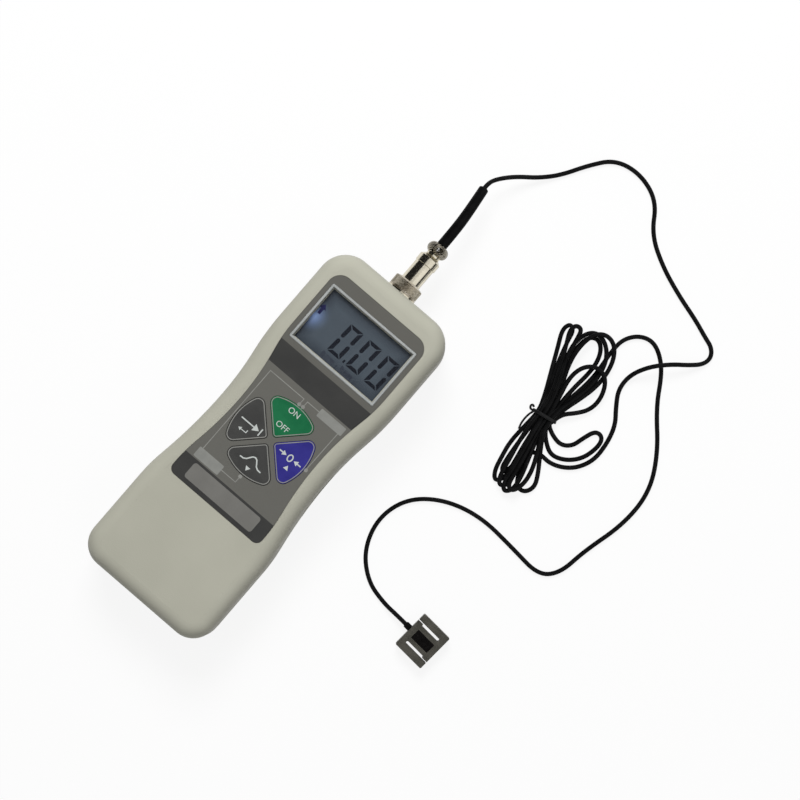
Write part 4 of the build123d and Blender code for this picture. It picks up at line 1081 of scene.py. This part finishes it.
# ------------------------------------------------------------------ screws
# Four cross-head screws hold the shells together from the back, and two small slotted ones
# draw the cable clamp together. All are zinc-plated steel with rounded heads.
CLAMP_SCREW_PLACES = [(-3.55, 0.0, 1.7), (3.55, 0.0, 1.7)]
CLAMP_ROLL = math.radians(65.0)
CLAMP_MIDDLE = 109.25
CASE_SCREW_PLACES = [(-23.0, 75.5), (23.0, 75.5), (-24.5, -76.0), (24.5, -76.0)]
CASE_SCREW_SEAT = 12.0
CROSS_LENGTH = 1.35
SLOT_REACH = 2.6
DOME_POWER = 2.4

screws = GeometryTree("screws", Float=["Head Radius", "Head Height", "Shank Radius", "Shank Length",
                                       "Slot Width", "Slot Depth", "Cross"], Vector=["Rotation"])
size = screws.input
head_radius, head_height = size["Head Radius"], size["Head Height"]
head = screws.node("GeometryNodeMeshCylinder", Vertices=32, Side_Segments=2, Fill_Segments=3,
                   Radius=head_radius, Depth=head_height)
at = screws.new("ShaderNodeSeparateXYZ")
screws.feed(at.inputs[0], screws.node("GeometryNodeInputPosition"))
x, y, z = at.outputs
from_axis = screws.math("SQRT", screws.math("ADD", screws.times(x, x), screws.times(y, y)))
reach = screws.math("DIVIDE", from_axis, head_radius)
droop = screws.times(screws.math("POWER", reach, DOME_POWER), screws.times(head_height, 0.5))
on_top = screws.math("GREATER_THAN", z, screws.times(head_height, 0.4))
domed = screws.node("GeometryNodeSetPosition", Geometry=head,
                    Offset=screws.vector(0.0, 0.0, screws.times(droop, on_top, -1.0)))
lifted = screws.node("GeometryNodeTransform", Geometry=domed,
                     Translation=screws.vector(0.0, 0.0, screws.times(head_height, 0.5)))
# A slot right across the head, and over it a second one that has no length on a slotted screw.
slot_length = screws.times(head_radius, screws.math("SUBTRACT", SLOT_REACH, size["Cross"]))
slot_height = screws.times(size["Slot Depth"], 2.0)
cross_length = screws.times(slot_length, screws.times(size["Cross"], 1 / CROSS_LENGTH))
cutters = screws.join(*(
    screws.node("GeometryNodeTransform", Translation=screws.vector(0.0, 0.0, head_height),
                Geometry=screws.node("GeometryNodeMeshCube", Size=screws.vector(length, width, slot_height)))
    for length, width in ((slot_length, size["Slot Width"]), (size["Slot Width"], cross_length))))
cut = screws.new("GeometryNodeMeshBoolean", operation="DIFFERENCE")
screws.fill(cut, {"Mesh 1": lifted, "Mesh 2": cutters})
shank = screws.node(
    "GeometryNodeTransform", Translation=screws.vector(0.0, 0.0, screws.times(size["Shank Length"], -0.499)),
    Geometry=screws.node("GeometryNodeMeshCylinder", Vertices=20, Radius=size["Shank Radius"],
                         Depth=size["Shank Length"]))
screw_tree = screws.close(screws.node(
    "GeometryNodeInstanceOnPoints", Points=size["Geometry"], Instance=screws.join(cut.outputs[0], shank),
    Rotation=size["Rotation"]))


def screw_piece(name, places, rotation, *sizes):
    """Screws at the places, in metres, as one mesh. The sizes are in millimetres, in the tree's order."""
    labels = ("Head Radius", "Head Height", "Shank Radius", "Shank Length", "Slot Width", "Slot Depth")
    values = {label: number * MM for label, number in zip(labels, sizes)}
    return bake(put(name, mesh_of(name, places, [])), screw_tree, {
        **values, "Cross": sizes[-1], "Rotation": rotation, "Material": satin_zinc})


clamp_turn = Matrix.Rotation(CLAMP_ROLL, 4, "Y")
clamp_origin = Vector((0.0, CLAMP_MIDDLE, AXIS_HEIGHT))
clamp_places = [(clamp_origin + clamp_turn @ Vector(p)) * MM for p in CLAMP_SCREW_PLACES]
clamp_screws = screw_piece("clamp_screws_slotted", clamp_places, (0.0, CLAMP_ROLL, 0.0),
                           1.15, 0.9, 0.58, 3.6, 0.3, 0.42, 0.0)
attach(clamp_screws, "sensor_lead")
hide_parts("clamp_screws")

case_places = [Vector((x, y, CASE_SCREW_SEAT)) * MM for x, y in CASE_SCREW_PLACES]
case_screws = screw_piece("case_screws_crosshead", case_places, (math.pi, 0.0, 0.0),
                          2.75, 2.4, 1.24, 16.0, 0.6, 1.3, CROSS_LENGTH)
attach(case_screws, "housing")
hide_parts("case_screws")


# ------------------------------------------------------------------ load cell
# A miniature S-beam ground from one block of steel, with strain gauges in its middle window
# under two pools of glossy black resin. The lead enters through a short moulded boot.
CELL_TURN = math.radians(-4.3)
dress(surface("cell_steel", (0.108, 0.104, 0.088), (0.148, 0.142, 0.121), 5, 0.5, 0.006, (0.36, 0.52), 0.75,
              (0.15, 3.0, 1.0), -CELL_TURN, gloss=0.3), "load_cell_body")

resin = Finish("resin_black")
pool = noise(resin, 3.5, 2.0)
dress(resin.shade(Base_Color=tint(resin, pool, (0.003, 0.003, 0.003), (0.007, 0.006, 0.006)),
                  Roughness=spread(resin, noise(resin, 1.5), 0.12, 0.25), Normal=relief(resin, pool, 0.25),
                  Specular_IOR_Level=0.3), "gauge_potting")
dress(surface("gauge_film", (0.48, 0.30, 0.10), (0.62, 0.42, 0.18), 0.6, 0.1, 0.004, (0.25, 0.4)),
      "strain_gauges")
dress(sleeve_rubber, "cell_boot")
